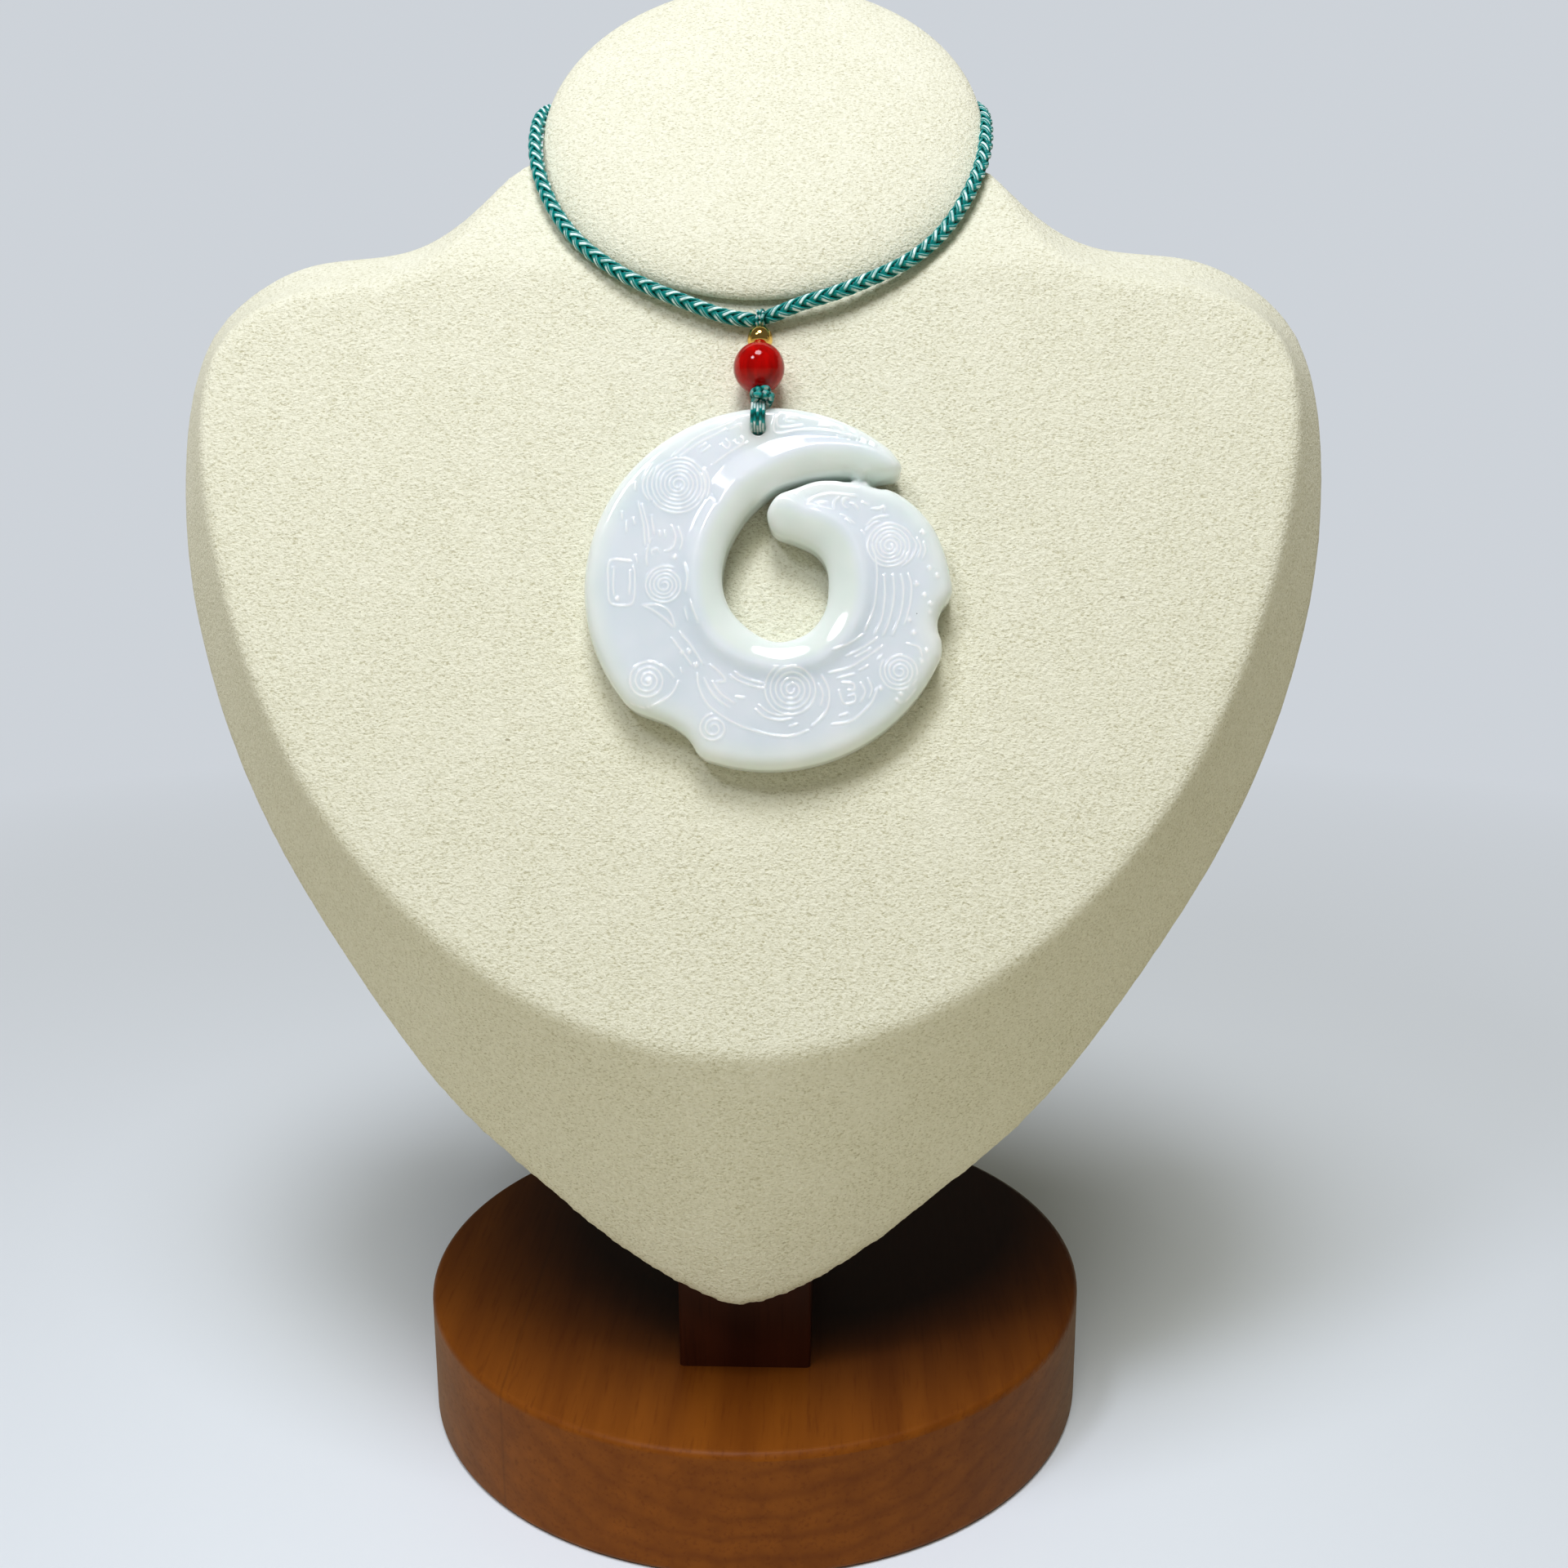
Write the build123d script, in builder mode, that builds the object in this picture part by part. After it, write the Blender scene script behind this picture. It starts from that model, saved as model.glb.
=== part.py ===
"""Carved jade pendant on a braided cord, with the neck bust stand that holds it.

Millimetres, +Z up. The origin is the middle of the base's underside and the front looks along -Y.
"""

from build123d import *
from math import asin, cos, degrees, pi, radians, sin, sqrt, tan
import os

# Wooden base and post
base_diameter = 120.0
base_height = 22.0
base_round = 1.2
post_width = 22.0
post_depth = 45.0
post_front = 36.4
post_height = 72.0
post_edge = 0.8
socket_gap = 0.2

# Padded bust: the front panel leans back more than the plane of its side edge
bust_width = 187.4
chest_height = 165.0
tip_lift = 16.3
tip_front = 43.2
side_lean = 15.0
panel_lean = 22.0
panel_foot_front = 54.7
panel_foot_lift = 63.2
back_reach = 28.0
back_width_share = 0.92
back_height_share = 0.78
nape_rise = 7.0

# Slanted oval end of the neck, a pad that stands proud of the neck and a little to one side
oval_width = 70.2
oval_length = 70.8
oval_rise = 38.0
oval_middle_x = 1.8
oval_middle_y = 7.0
oval_middle_lift = 203.2
oval_thickness = 4.0
oval_front_round = 2.2
oval_back_round = 1.5
groove_depth = 3.2
neck_inset = 1.6
neck_foot_lift = 182.0

# Carved pendant, hung askew by its hole; the bevel round its opening follows two circles, one round
# the opening and a larger one under the tail, that touch on the left
pendant_diameter = 56.4
pendant_thickness = 6.5
pendant_front_round = 1.8
pendant_back_round = 1.0
pendant_tilt = 1.0
pendant_back_gap = 0.7
pendant_middle_rise = 70.7
thread_hole = 3.0
hole_across = -2.0
hole_rise = 23.5
tail_circle = (9.0, 1.5)
tail_radius = 15.7
opening_circle = (1.3, -0.8)
bevel_width = 5.0
bevel_depth = 2.0
bevel_overrun = 0.5
bevel_inner_radius = 6.0
tail_bevel_start = 48.0
tail_keep_corner = (11.5, 16.7)
relief_height = 0.35
relief_root = 1.0
relief_pitch = 1.47
relief_line = 0.6
half_turn = 180.0

# Beads and threads between the cord and the pendant, clear of the panel by a small gap
drop_across = 2.6
bead_clearance = 0.2
gold_diameter = 4.0
gold_bore = 1.0
gold_rise = 111.6
red_diameter = 8.0
red_bore = 1.2
bead_gap = 0.1
thread_diameter = 0.7
thread_head = 1.8
knot_diameter = 3.4
knot_height = 1.3
knot_round = 0.4
strip_width = 2.2
strip_thickness = 0.8
strip_gap = 0.15
strip_drop = 0.6
strip_round = 1.2

# Braided cord and its two bindings
cord_diameter = 2.5
whipping_diameter = 2.9
whipping_length = 1.8
whipping_round = 0.6
whipping_y = -13.1
whipping_lift = 170.6
nape_knot_diameter = 4.8
nape_knot_length = 6.0
nape_knot_bore = 2.9
nape_knot_round = 0.8
nape_y = 31.5
nape_lift = 207.4

os.makedirs("parts", exist_ok=True)


def finish(piece, name):
    """Label a finished piece and write its file."""
    piece.part.label = name
    export_step(piece.part, f"parts/{name}.step")


# Planes that the pieces share
half_width = bust_width / 2
tip_height = base_height + tip_lift
panel_normal = (0, -cos(radians(panel_lean)), sin(radians(panel_lean)))
panel_plane = Plane(
    origin=(0, -panel_foot_front, base_height + panel_foot_lift), x_dir=(1, 0, 0), z_dir=panel_normal
)
side_normal = (0, -cos(radians(side_lean)), sin(radians(side_lean)))
side_plane = Plane(origin=(0, -tip_front, tip_height), x_dir=(1, 0, 0), z_dir=side_normal)
back_plane = Plane(origin=(0, back_reach, tip_height), x_dir=(1, 0, 0), z_dir=(0, -1, 0))
oval_normal = (0, -cos(radians(oval_rise)), sin(radians(oval_rise)))
oval_plane = Plane(
    origin=(oval_middle_x, oval_middle_y, base_height + oval_middle_lift), x_dir=(1, 0, 0), z_dir=oval_normal
)

# Outline of the bust from its foot up one side to the neck: half widths as shares of half the
# bust's width, heights above the tip as shares of the chest's height
# columns: front panel half width, front panel height, side edge half width, side edge height
outline_rows = [
    (0.000, 0.284, 0.000, 0.000),
    (0.149, 0.293, 0.096, 0.016),
    (0.293, 0.319, 0.235, 0.060),
    (0.425, 0.357, 0.367, 0.115),
    (0.534, 0.402, 0.496, 0.175),
    (0.630, 0.453, 0.608, 0.248),
    (0.715, 0.512, 0.716, 0.332),
    (0.790, 0.583, 0.818, 0.422),
    (0.850, 0.659, 0.898, 0.513),
    (0.894, 0.735, 0.956, 0.607),
    (0.920, 0.807, 0.991, 0.701),
    (0.926, 0.859, 1.000, 0.780),
    (0.914, 0.901, 0.991, 0.859),
    (0.878, 0.933, 0.948, 0.929),
    (0.822, 0.953, 0.875, 0.969),
    (0.742, 0.965, 0.784, 0.993),
    (0.651, 0.970, 0.683, 1.000),
    (0.571, 0.981, 0.592, 1.009),
    (0.499, 1.007, 0.521, 1.031),
    (0.444, 1.037, 0.462, 1.060),
    (0.401, 1.068, 0.412, 1.088),
    (0.330, 1.090, 0.340, 1.112),
]


def panel_points():
    """Front panel outline in its own leaning plane."""
    foot = panel_foot_lift - tip_lift
    first = outline_rows[0][1]
    rise = (chest_height - foot) / (1 - first)
    return [
        (half_width * across, (height - first) * rise / cos(radians(panel_lean)))
        for across, height, _, _ in outline_rows
    ]


def side_points():
    """Outline of the widest edge in its own plane."""
    return [
        (half_width * across, chest_height * height / cos(radians(side_lean)))
        for _, _, across, height in outline_rows
    ]


def back_points():
    """The same outline drawn in a little for the flat back."""
    return [
        (half_width * across * back_width_share, chest_height * (1 - back_height_share * (1 - height)))
        for _, _, across, height in outline_rows
    ]


def mirrored(points):
    """The other side of an outline."""
    return [(-across, height) for across, height in points]


def closed_outline(points):
    """Both sides of an outline, closed across the neck."""
    with BuildLine() as outline:
        Spline(*points)
        Spline(*mirrored(points))
        ThreePointArc(points[-1], (0, points[-1][1] + nape_rise), mirrored(points)[-1])
    return outline.edges()


panel_outline = closed_outline(panel_points())
side_outline = closed_outline(side_points())
back_outline = closed_outline(back_points())

# Turned base with softened edges
with BuildPart() as wood_base:
    Cylinder(base_diameter / 2, base_height, align=(Align.CENTER, Align.CENTER, Align.MIN))
    fillet(wood_base.edges().filter_by(GeomType.CIRCLE), base_round)
finish(wood_base, "wood_base")

# Post, standing on the base and reaching into the bust
post_middle_y = post_depth / 2 - post_front
with BuildPart() as wood_post:
    with BuildSketch(Plane.XY.offset(base_height)):
        with Locations((0, post_middle_y)):
            Rectangle(post_width, post_depth)
    extrude(amount=post_height)
    fillet(wood_post.edges().filter_by(Axis.Z), post_edge)
finish(wood_post, "wood_post")

# Bust: front panel, drawn-in sides and flat back, with the neck behind its oval pad
neck_half_height = (oval_length / 2 - neck_inset) * cos(radians(oval_rise))
neck_middle = base_height + oval_middle_lift - oval_thickness * sin(radians(oval_rise))
neck_foot = base_height + neck_foot_lift
neck_plane = Plane(origin=(oval_middle_x, back_reach, neck_middle), x_dir=(1, 0, 0), z_dir=(0, -1, 0))
with BuildPart() as oval_pad:
    with BuildSketch(oval_plane.offset(-oval_thickness)):
        Ellipse(oval_width / 2, oval_length / 2)
    extrude(amount=oval_thickness)
    pad_axis = Axis(oval_plane.origin, oval_plane.z_dir)
    pad_rims = oval_pad.edges().filter_by(GeomType.ELLIPSE).sort_by(pad_axis)
    fillet(pad_rims[-1], oval_front_round)
    fillet(pad_rims[0], oval_back_round)
with BuildPart() as neck_bust:
    with BuildSketch(panel_plane):
        make_face(panel_outline)
    with BuildSketch(side_plane):
        make_face(side_outline)
    with BuildSketch(back_plane):
        make_face(back_outline)
    loft(ruled=True)
    with BuildSketch(neck_plane):
        Ellipse(oval_width / 2 - neck_inset, neck_half_height)
        with Locations((0, neck_foot - neck_middle)):
            Rectangle(oval_width, oval_length, align=(Align.CENTER, Align.MAX), mode=Mode.SUBTRACT)
    extrude(amount=oval_length)
    split(bisect_by=oval_plane.offset(-groove_depth), keep=Keep.BOTTOM)
    add(oval_pad.part)
    with BuildSketch(Plane.XY.offset(base_height)):
        with Locations((0, post_middle_y)):
            Rectangle(post_width + 2 * socket_gap, post_depth + 2 * socket_gap)
    extrude(amount=post_height + socket_gap, mode=Mode.SUBTRACT)
finish(neck_bust, "neck_bust")

# Pendant in its own plane: x across, y up the slope, z out of the panel
pendant_across = drop_across - hole_across
pendant_plane = Plane(
    panel_plane.from_local_coords(Vector(pendant_across, pendant_middle_rise, pendant_back_gap)),
    x_dir=(1, 0, 0),
    z_dir=panel_normal,
).rotated((pendant_tilt, 0, 0))
pendant_radius = pendant_diameter / 2

# Opening of the ring and the slit that leads to it, as shares of the pendant's radius
opening_shares = [
    (0.418, 0.580),
    (0.259, 0.574),
    (0.142, 0.535),
    (0.039, 0.500),
    (-0.014, 0.408),
    (-0.004, 0.337),
    (0.043, 0.287),
    (0.160, 0.248),
    (0.259, 0.191),
    (0.319, 0.099),
    (0.333, -0.032),
    (0.312, -0.152),
    (0.234, -0.259),
    (0.121, -0.316),
    (0.021, -0.316),
    (-0.092, -0.255),
    (-0.195, -0.138),
    (-0.241, 0.025),
    (-0.213, 0.206),
    (-0.131, 0.369),
    (-0.032, 0.482),
    (0.060, 0.549),
    (0.184, 0.596),
    (0.330, 0.617),
    (0.418, 0.617),
]
# Places where the ring falls short of a full disc: under the tail's tip, and two steps in the rim;
# each is a smooth edge from its first point to its last, closed by the corners outside the disc
rim_cuts = [
    (
        [(0.505, 0.590), (0.677, 0.535), (0.809, 0.429), (0.904, 0.294), (0.961, 0.131), (0.984, -0.030)],
        [(1.150, -0.030), (1.150, 0.850), (0.740, 0.800), (0.713, 0.690), (0.706, 0.645), (0.685, 0.612),
         (0.640, 0.604), (0.560, 0.604)],
    ),
    (
        [(0.984, -0.030), (0.925, -0.124), (0.904, -0.241), (0.954, -0.350)],
        [(1.150, -0.350), (1.150, -0.030)],
    ),
    (
        [(-0.700, -0.695), (-0.571, -0.727), (-0.443, -0.826), (-0.390, -0.935)],
        [(-0.450, -1.150), (-0.850, -0.900)],
    ),
]


def scaled(shares):
    """Points from shares of the pendant's radius."""
    return [(pendant_radius * across, pendant_radius * up) for across, up in shares]


# Raised spirals of the carving: middle across, middle up, outer radius, all as shares
spiral_rows = [
    (-0.507, 0.543, 0.160),
    (-0.599, 0.004, 0.092),
    (0.156, -0.596, 0.135),
    (0.688, -0.511, 0.080),
    (0.645, 0.216, 0.125),
    (-0.589, -0.571, 0.110),
    (-0.262, -0.780, 0.075),
]
# Corners of raised frets, in open lines, as shares
fret_rows = [
    [(-0.560, 0.700), (-0.340, 0.830), (-0.155, 0.880), (-0.145, 0.805), (-0.300, 0.745), (-0.500, 0.620)],
    [(0.040, 0.900), (0.175, 0.900), (0.165, 0.815), (0.065, 0.815), (0.070, 0.865), (0.120, 0.865)],
    [(0.245, 0.880), (0.340, 0.850), (0.460, 0.790), (0.340, 0.790), (0.245, 0.800), (0.285, 0.840)],
    [(-0.730, 0.185), (-0.860, 0.175), (-0.875, -0.120), (-0.745, -0.120), (-0.735, 0.090), (-0.800, 0.085)],
    [(0.490, 0.430), (0.560, 0.480), (0.655, 0.430), (0.560, 0.395)],
    [(0.480, -0.560), (0.530, -0.620), (0.500, -0.730), (0.420, -0.720)],
]
# Long raised lines that follow the body, as three points each, as shares
sweep_rows = [
    [(-0.330, -0.470), (-0.200, -0.580), (-0.040, -0.620)],
    [(0.360, -0.520), (0.480, -0.430), (0.580, -0.330)],
    [(0.620, -0.250), (0.680, -0.100), (0.670, 0.030)],
    [(-0.640, 0.400), (-0.690, 0.300), (-0.700, 0.235)],
]


def spiral(middle_across, middle_up, outer):
    """A spiral of half circles that wind inwards by one pitch a turn."""
    radius = outer * pendant_radius
    across = middle_across * pendant_radius
    up = middle_up * pendant_radius
    start = 0
    with BuildLine() as coil:
        while radius > relief_pitch:
            CenterArc((across, up), radius, start, half_turn)
            side = 1 if start == 0 else -1
            across -= side * relief_pitch / 2
            radius -= relief_pitch / 2
            start = half_turn - start
    return coil.edges()


def fret(corners):
    """A run of straight raised lines."""
    with BuildLine() as run:
        Polyline(*scaled(corners))
    return run.edges()


def sweep_line(stops):
    """A raised arc through three points."""
    with BuildLine() as arc:
        ThreePointArc(*scaled(stops))
    return arc.edges()


relief_lines = [spiral(*row) for row in spiral_rows]
relief_lines += [fret(row) for row in fret_rows]
relief_lines += [sweep_line(row) for row in sweep_rows]


def bevel_profile(inner, outer):
    """Corners of the cut that slopes from the outer radius in and down to the inner one."""
    depth = bevel_depth * (outer - inner) / bevel_width
    return [(inner, bevel_overrun), (inner, -depth), (outer, 0), (outer, bevel_overrun)]


# The two bevel circles touch where the line through their middles leaves the smaller one
middle_gap = Vector(*tail_circle) - Vector(*opening_circle)
touch_angle = half_turn + degrees(asin(middle_gap.Y / middle_gap.length))
tail_outer = tail_radius + bevel_width
opening_outer = tail_outer - middle_gap.length
front_plane = pendant_plane.offset(pendant_thickness)


def turning_plane(middle, angle):
    """Plane through a bevel circle's axis at an angle round the pendant's face, y out of the face."""
    origin = front_plane.from_local_coords(Vector(*middle, 0))
    reach = Vector(cos(radians(angle)), sin(radians(angle)), 0)
    out = front_plane.from_local_coords(Vector(*middle, 0) + reach)
    return Plane(origin=origin, x_dir=out - origin, z_dir=(out - origin).cross(front_plane.z_dir))


tail_turning = turning_plane(tail_circle, tail_bevel_start)
with BuildPart() as tail_bevel:
    with BuildSketch(tail_turning):
        with BuildLine():
            Polyline(*bevel_profile(tail_radius - bevel_overrun, tail_outer), close=True)
        make_face()
    revolve(axis=Axis(tail_turning.origin, front_plane.z_dir), revolution_arc=touch_angle - tail_bevel_start)
    with BuildSketch(front_plane):
        with Locations(tail_keep_corner):
            Rectangle(pendant_radius, pendant_radius, align=(Align.MIN, Align.MAX))
    extrude(amount=pendant_thickness, both=True, mode=Mode.SUBTRACT)

with BuildPart() as jade_pendant:
    with BuildSketch(pendant_plane):
        Circle(pendant_radius)
    extrude(amount=pendant_thickness)
    pendant_axis = Axis(pendant_plane.origin, pendant_plane.z_dir)
    rims = jade_pendant.edges().filter_by(GeomType.CIRCLE).sort_by(pendant_axis)
    fillet(rims[-1], pendant_front_round)
    fillet(rims[0], pendant_back_round)
    with BuildSketch(pendant_plane):
        with BuildLine():
            lip = Spline(*scaled(opening_shares))
            Line(lip @ 1, lip @ 0)
        make_face()
        for edge_shares, corner_shares in rim_cuts:
            with BuildLine():
                edge = Spline(*scaled(edge_shares))
                Polyline(edge @ 1, *scaled(corner_shares), edge @ 0)
            make_face()
        with Locations((hole_across, hole_rise)):
            Circle(thread_hole / 2)
    extrude(amount=pendant_thickness, mode=Mode.SUBTRACT)
    add(tail_bevel.part, mode=Mode.SUBTRACT)
    opening_turning = turning_plane(opening_circle, 0)
    with BuildSketch(opening_turning):
        with BuildLine():
            Polyline(*bevel_profile(bevel_inner_radius, opening_outer), close=True)
        make_face()
    revolve(axis=Axis(opening_turning.origin, front_plane.z_dir), mode=Mode.SUBTRACT)
    with BuildSketch(front_plane.offset(-relief_root)):
        for line in relief_lines:
            trace(line, relief_line)
    extrude(amount=relief_root + relief_height)
finish(jade_pendant, "jade_pendant")

# Line of the beads: the larger one lies further out, so the thread leans off the panel
thread_reach = (gold_diameter + red_diameter) / 2 + bead_gap
thread_rise = (red_diameter - gold_diameter) / 2
thread_lean = radians(panel_lean) + asin(thread_rise / thread_reach)
thread_way = Vector(0, -sin(thread_lean), -cos(thread_lean))
gold_middle = panel_plane.from_local_coords(
    Vector(drop_across, gold_rise, gold_diameter / 2 + bead_clearance),
)
knot_start = thread_reach + red_diameter / 2 + bead_gap


def thread_plane(distance):
    """Plane square to the bead thread, at a distance below the gold bead's middle."""
    return Plane(origin=gold_middle + thread_way * distance, x_dir=(1, 0, 0), z_dir=thread_way)


with BuildPart(thread_plane(0)) as gold_bead:
    Sphere(gold_diameter / 2)
    Cylinder(gold_bore / 2, gold_diameter, mode=Mode.SUBTRACT)
finish(gold_bead, "gold_bead")

with BuildPart(thread_plane(thread_reach)) as red_bead:
    Sphere(red_diameter / 2)
    Cylinder(red_bore / 2, red_diameter, mode=Mode.SUBTRACT)
finish(red_bead, "red_bead")

with BuildPart(thread_plane(-thread_head)) as bead_thread:
    thread_length = thread_head + knot_start - bead_gap
    Cylinder(thread_diameter / 2, thread_length, align=(Align.CENTER, Align.CENTER, Align.MIN))
finish(bead_thread, "bead_thread")

with BuildPart(thread_plane(knot_start)) as loop_knot:
    Cylinder(knot_diameter / 2, knot_height, align=(Align.CENTER, Align.CENTER, Align.MIN))
    fillet(loop_knot.edges().filter_by(GeomType.CIRCLE), knot_round)
finish(loop_knot, "loop_knot")

# Flat loop of threads, drawn in the plane that cuts the pendant through its hole
hole_plane = Plane(
    origin=pendant_plane.from_local_coords(Vector(hole_across, 0, 0)),
    x_dir=pendant_plane.y_dir,
    z_dir=pendant_plane.x_dir,
)
loop_foot = hole_rise + strip_drop
loop_head = sqrt(pendant_radius**2 - hole_across**2) + strip_gap
loop_span = loop_head - loop_foot
loop_depth = pendant_thickness + 2 * strip_gap
with BuildPart() as hanging_loop:
    with BuildSketch(hole_plane):
        with Locations(((loop_foot + loop_head) / 2, pendant_thickness / 2)):
            RectangleRounded(loop_span + 2 * strip_thickness, loop_depth + 2 * strip_thickness, strip_round)
            RectangleRounded(loop_span, loop_depth, strip_round - strip_thickness, mode=Mode.SUBTRACT)
    extrude(amount=strip_width / 2, both=True)
finish(hanging_loop, "hanging_loop")

# Cord: one braid from the whipping, up beside the oval pad, round behind the neck and back
cord_right = [
    (4.1, -12.9, 192.8),
    (8.9, -12.8, 194.9),
    (14.5, -12.4, 196.4),
    (20.4, -11.0, 198.8),
    (26.1, -9.3, 201.4),
    (30.8, -6.7, 205.1),
    (34.4, -3.2, 209.8),
    (37.1, 1.2, 215.4),
    (38.8, 6.6, 221.2),
    (39.0, 13.0, 226.4),
    (38.5, 18.9, 228.7),
    (38.1, 24.9, 229.6),
    (35.5, 29.3, 229.5),
    (31.1, 31.8, 229.5),
    (22.0, 31.9, 229.5),
    (10.0, nape_y, base_height + nape_lift),
]
cord_left = [
    (-10.0, nape_y, base_height + nape_lift),
    (-20.5, 31.9, 229.5),
    (-27.5, 31.8, 229.5),
    (-31.9, 29.3, 229.5),
    (-34.6, 24.9, 229.6),
    (-35.4, 18.9, 228.9),
    (-36.3, 13.0, 226.9),
    (-36.1, 6.3, 221.6),
    (-34.2, 1.0, 215.5),
    (-30.8, -3.7, 209.2),
    (-26.4, -7.5, 204.3),
    (-20.5, -9.9, 200.1),
    (-14.5, -11.3, 197.2),
    (-8.7, -12.2, 195.0),
    (-3.4, -12.9, 193.0),
    (1.2, -13.1, 192.2),
]
cord_route = cord_right + cord_left


def corner_radii(points):
    """Bend radius at each inner point, from the shorter of its two runs."""
    radii = []
    for before, corner, after in zip(points, points[1:], points[2:]):
        run_in = Vector(*corner) - Vector(*before)
        run_out = Vector(*after) - Vector(*corner)
        turn = radians(run_in.get_angle(run_out))
        radii.append(0.45 * min(run_in.length, run_out.length) / tan(turn / 2))
    return radii


cord_radii = corner_radii(cord_route)
with BuildPart() as neck_cord:
    with BuildLine() as cord_line:
        FilletPolyline(*cord_route, radius=cord_radii)
    cord_path = cord_line.wire()
    with BuildSketch(Plane(origin=cord_path @ 0, z_dir=cord_path % 0)):
        Circle(cord_diameter / 2)
    sweep(path=cord_path)
finish(neck_cord, "neck_cord")
cord_section = pi * cord_diameter**2 / 4
print("cord bend radii", [round(radius, 1) for radius in cord_radii])
print("cord length", round(cord_path.length, 1))
print("cord volume", round(neck_cord.part.volume, 1))
print("section times length", round(cord_section * cord_path.length, 1))

whipping_plane = Plane(origin=(drop_across, whipping_y, base_height + whipping_lift), z_dir=(1, 0, 0))
with BuildPart(whipping_plane) as cord_whipping:
    Cylinder(whipping_diameter / 2, whipping_length)
    fillet(cord_whipping.edges().filter_by(GeomType.CIRCLE), whipping_round)
finish(cord_whipping, "cord_whipping")

with BuildPart(Plane(origin=(0, nape_y, base_height + nape_lift), z_dir=(1, 0, 0))) as nape_knot:
    Cylinder(nape_knot_diameter / 2, nape_knot_length)
    fillet(nape_knot.edges().filter_by(GeomType.CIRCLE), nape_knot_round)
    Cylinder(nape_knot_bore / 2, nape_knot_length, mode=Mode.SUBTRACT)
finish(nape_knot, "nape_knot")
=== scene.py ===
# %% [markdown]
# # A carved jade pendant on its neck bust
#
# The object is a necklace together with the small stand that shows it off. A milky white jade
# ring hangs from a teal braid with a gold bead and a red bead, and lies on the sloping chest of
# a bust covered in cream microsuede, on a wooden post and a round wooden base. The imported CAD
# model gives every size and place. This lesson gives each piece its real surface.

from math import cos, pi, radians, sin

import bmesh
import bpy
import numpy as np
from mathutils import Matrix, Vector
from mathutils.geometry import delaunay_2d_cdt
from mathutils.kdtree import KDTree


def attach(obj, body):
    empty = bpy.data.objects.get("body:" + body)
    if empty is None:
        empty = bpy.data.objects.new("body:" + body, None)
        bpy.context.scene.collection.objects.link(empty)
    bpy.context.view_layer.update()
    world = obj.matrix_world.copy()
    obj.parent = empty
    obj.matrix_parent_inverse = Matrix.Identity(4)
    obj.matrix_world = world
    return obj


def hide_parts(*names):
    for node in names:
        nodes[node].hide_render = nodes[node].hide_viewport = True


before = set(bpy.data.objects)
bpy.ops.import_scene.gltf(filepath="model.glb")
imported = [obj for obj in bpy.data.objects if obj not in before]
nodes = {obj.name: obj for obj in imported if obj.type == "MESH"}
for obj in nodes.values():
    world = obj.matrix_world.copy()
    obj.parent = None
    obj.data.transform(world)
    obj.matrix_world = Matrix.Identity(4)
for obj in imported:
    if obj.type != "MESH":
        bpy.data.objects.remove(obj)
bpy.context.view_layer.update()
MM = 0.001
print("CAD nodes:", ", ".join(sorted(nodes)))

# %% [markdown]
# ## Camera
#
# The picture was taken with a short lens from a little above the beads, tipped down by about
# thirteen degrees and turned a touch to the left. A camera in Blender looks along its own
# minus Z, so its matrix has the view's right, up and backward directions as columns.

# %% Camera
def new_object(name, data):
    """An object with this data, linked into the scene."""
    piece = bpy.data.objects.new(name, data)
    bpy.context.collection.objects.link(piece)
    return piece


photo_side = 1920
focal_pixels = 2000
sensor = 36.0
camera_place = Vector((15.43, -280.91, 179.49))
view_right = Vector((0.99941, 0.03416, -0.0032))
view_ahead = Vector((-0.03399, 0.97335, -0.22679))
view_up = view_right.cross(view_ahead)

lens = bpy.data.cameras.new("camera")
lens.sensor_width = sensor
lens.sensor_height = sensor
lens.lens = sensor * focal_pixels / photo_side
lens.clip_start = 0.01
camera = new_object("camera", lens)
view_turn = Matrix((view_right, view_up, -view_ahead)).transposed()
camera.matrix_world = Matrix.LocRotScale(camera_place * MM, view_turn, None)
bpy.context.scene.camera = camera
bpy.context.scene.view_settings.view_transform = "Standard"
print("lens", round(lens.lens, 1), "mm")

# %% [markdown]
# ## Small helpers for node trees
#
# Materials and Geometry Nodes are both trees of nodes. A socket either takes a link from another
# node or keeps a plain value, so one helper does whichever fits, and the trees below read like
# sums.


# %% Node helpers
def feed(tree, socket, value):
    """Link a socket to another socket, or set its own value."""
    if isinstance(value, bpy.types.NodeSocket):
        tree.links.new(value, socket)
    else:
        socket.default_value = value


def fill(tree, made, **inputs):
    """Feed a node's named inputs; an underscore stands for a space."""
    for title, value in inputs.items():
        feed(tree, made.inputs[title.replace("_", " ")], value)


def node(tree, kind, settings=None, **inputs):
    """A new node with its settings and its named inputs."""
    made = tree.nodes.new(kind)
    for key, value in (settings or {}).items():
        setattr(made, key, value)
    fill(tree, made, **inputs)
    return made


def calc(tree, operation, *values):
    """The result of a Math node."""
    made = node(tree, "ShaderNodeMath", {"operation": operation})
    for socket, value in zip(made.inputs, values):
        feed(tree, socket, value)
    return made.outputs[0]


def times(tree, first, second):
    """One number times another."""
    return calc(tree, "MULTIPLY", first, second)


def plus(tree, first, second):
    """One number plus another."""
    return calc(tree, "ADD", first, second)


def minus(tree, first, second):
    """One number less another."""
    return calc(tree, "SUBTRACT", first, second)


def vector_calc(tree, operation, *values):
    """The result of a Vector Math node; SCALE takes a vector and a factor."""
    made = node(tree, "ShaderNodeVectorMath", {"operation": operation})
    feed(tree, made.inputs[0], values[0])
    if operation == "SCALE":
        feed(tree, made.inputs["Scale"], values[1])
    elif len(values) > 1:
        feed(tree, made.inputs[1], values[1])
    return made.outputs["Value" if operation in ("LENGTH", "DISTANCE") else "Vector"]


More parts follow.
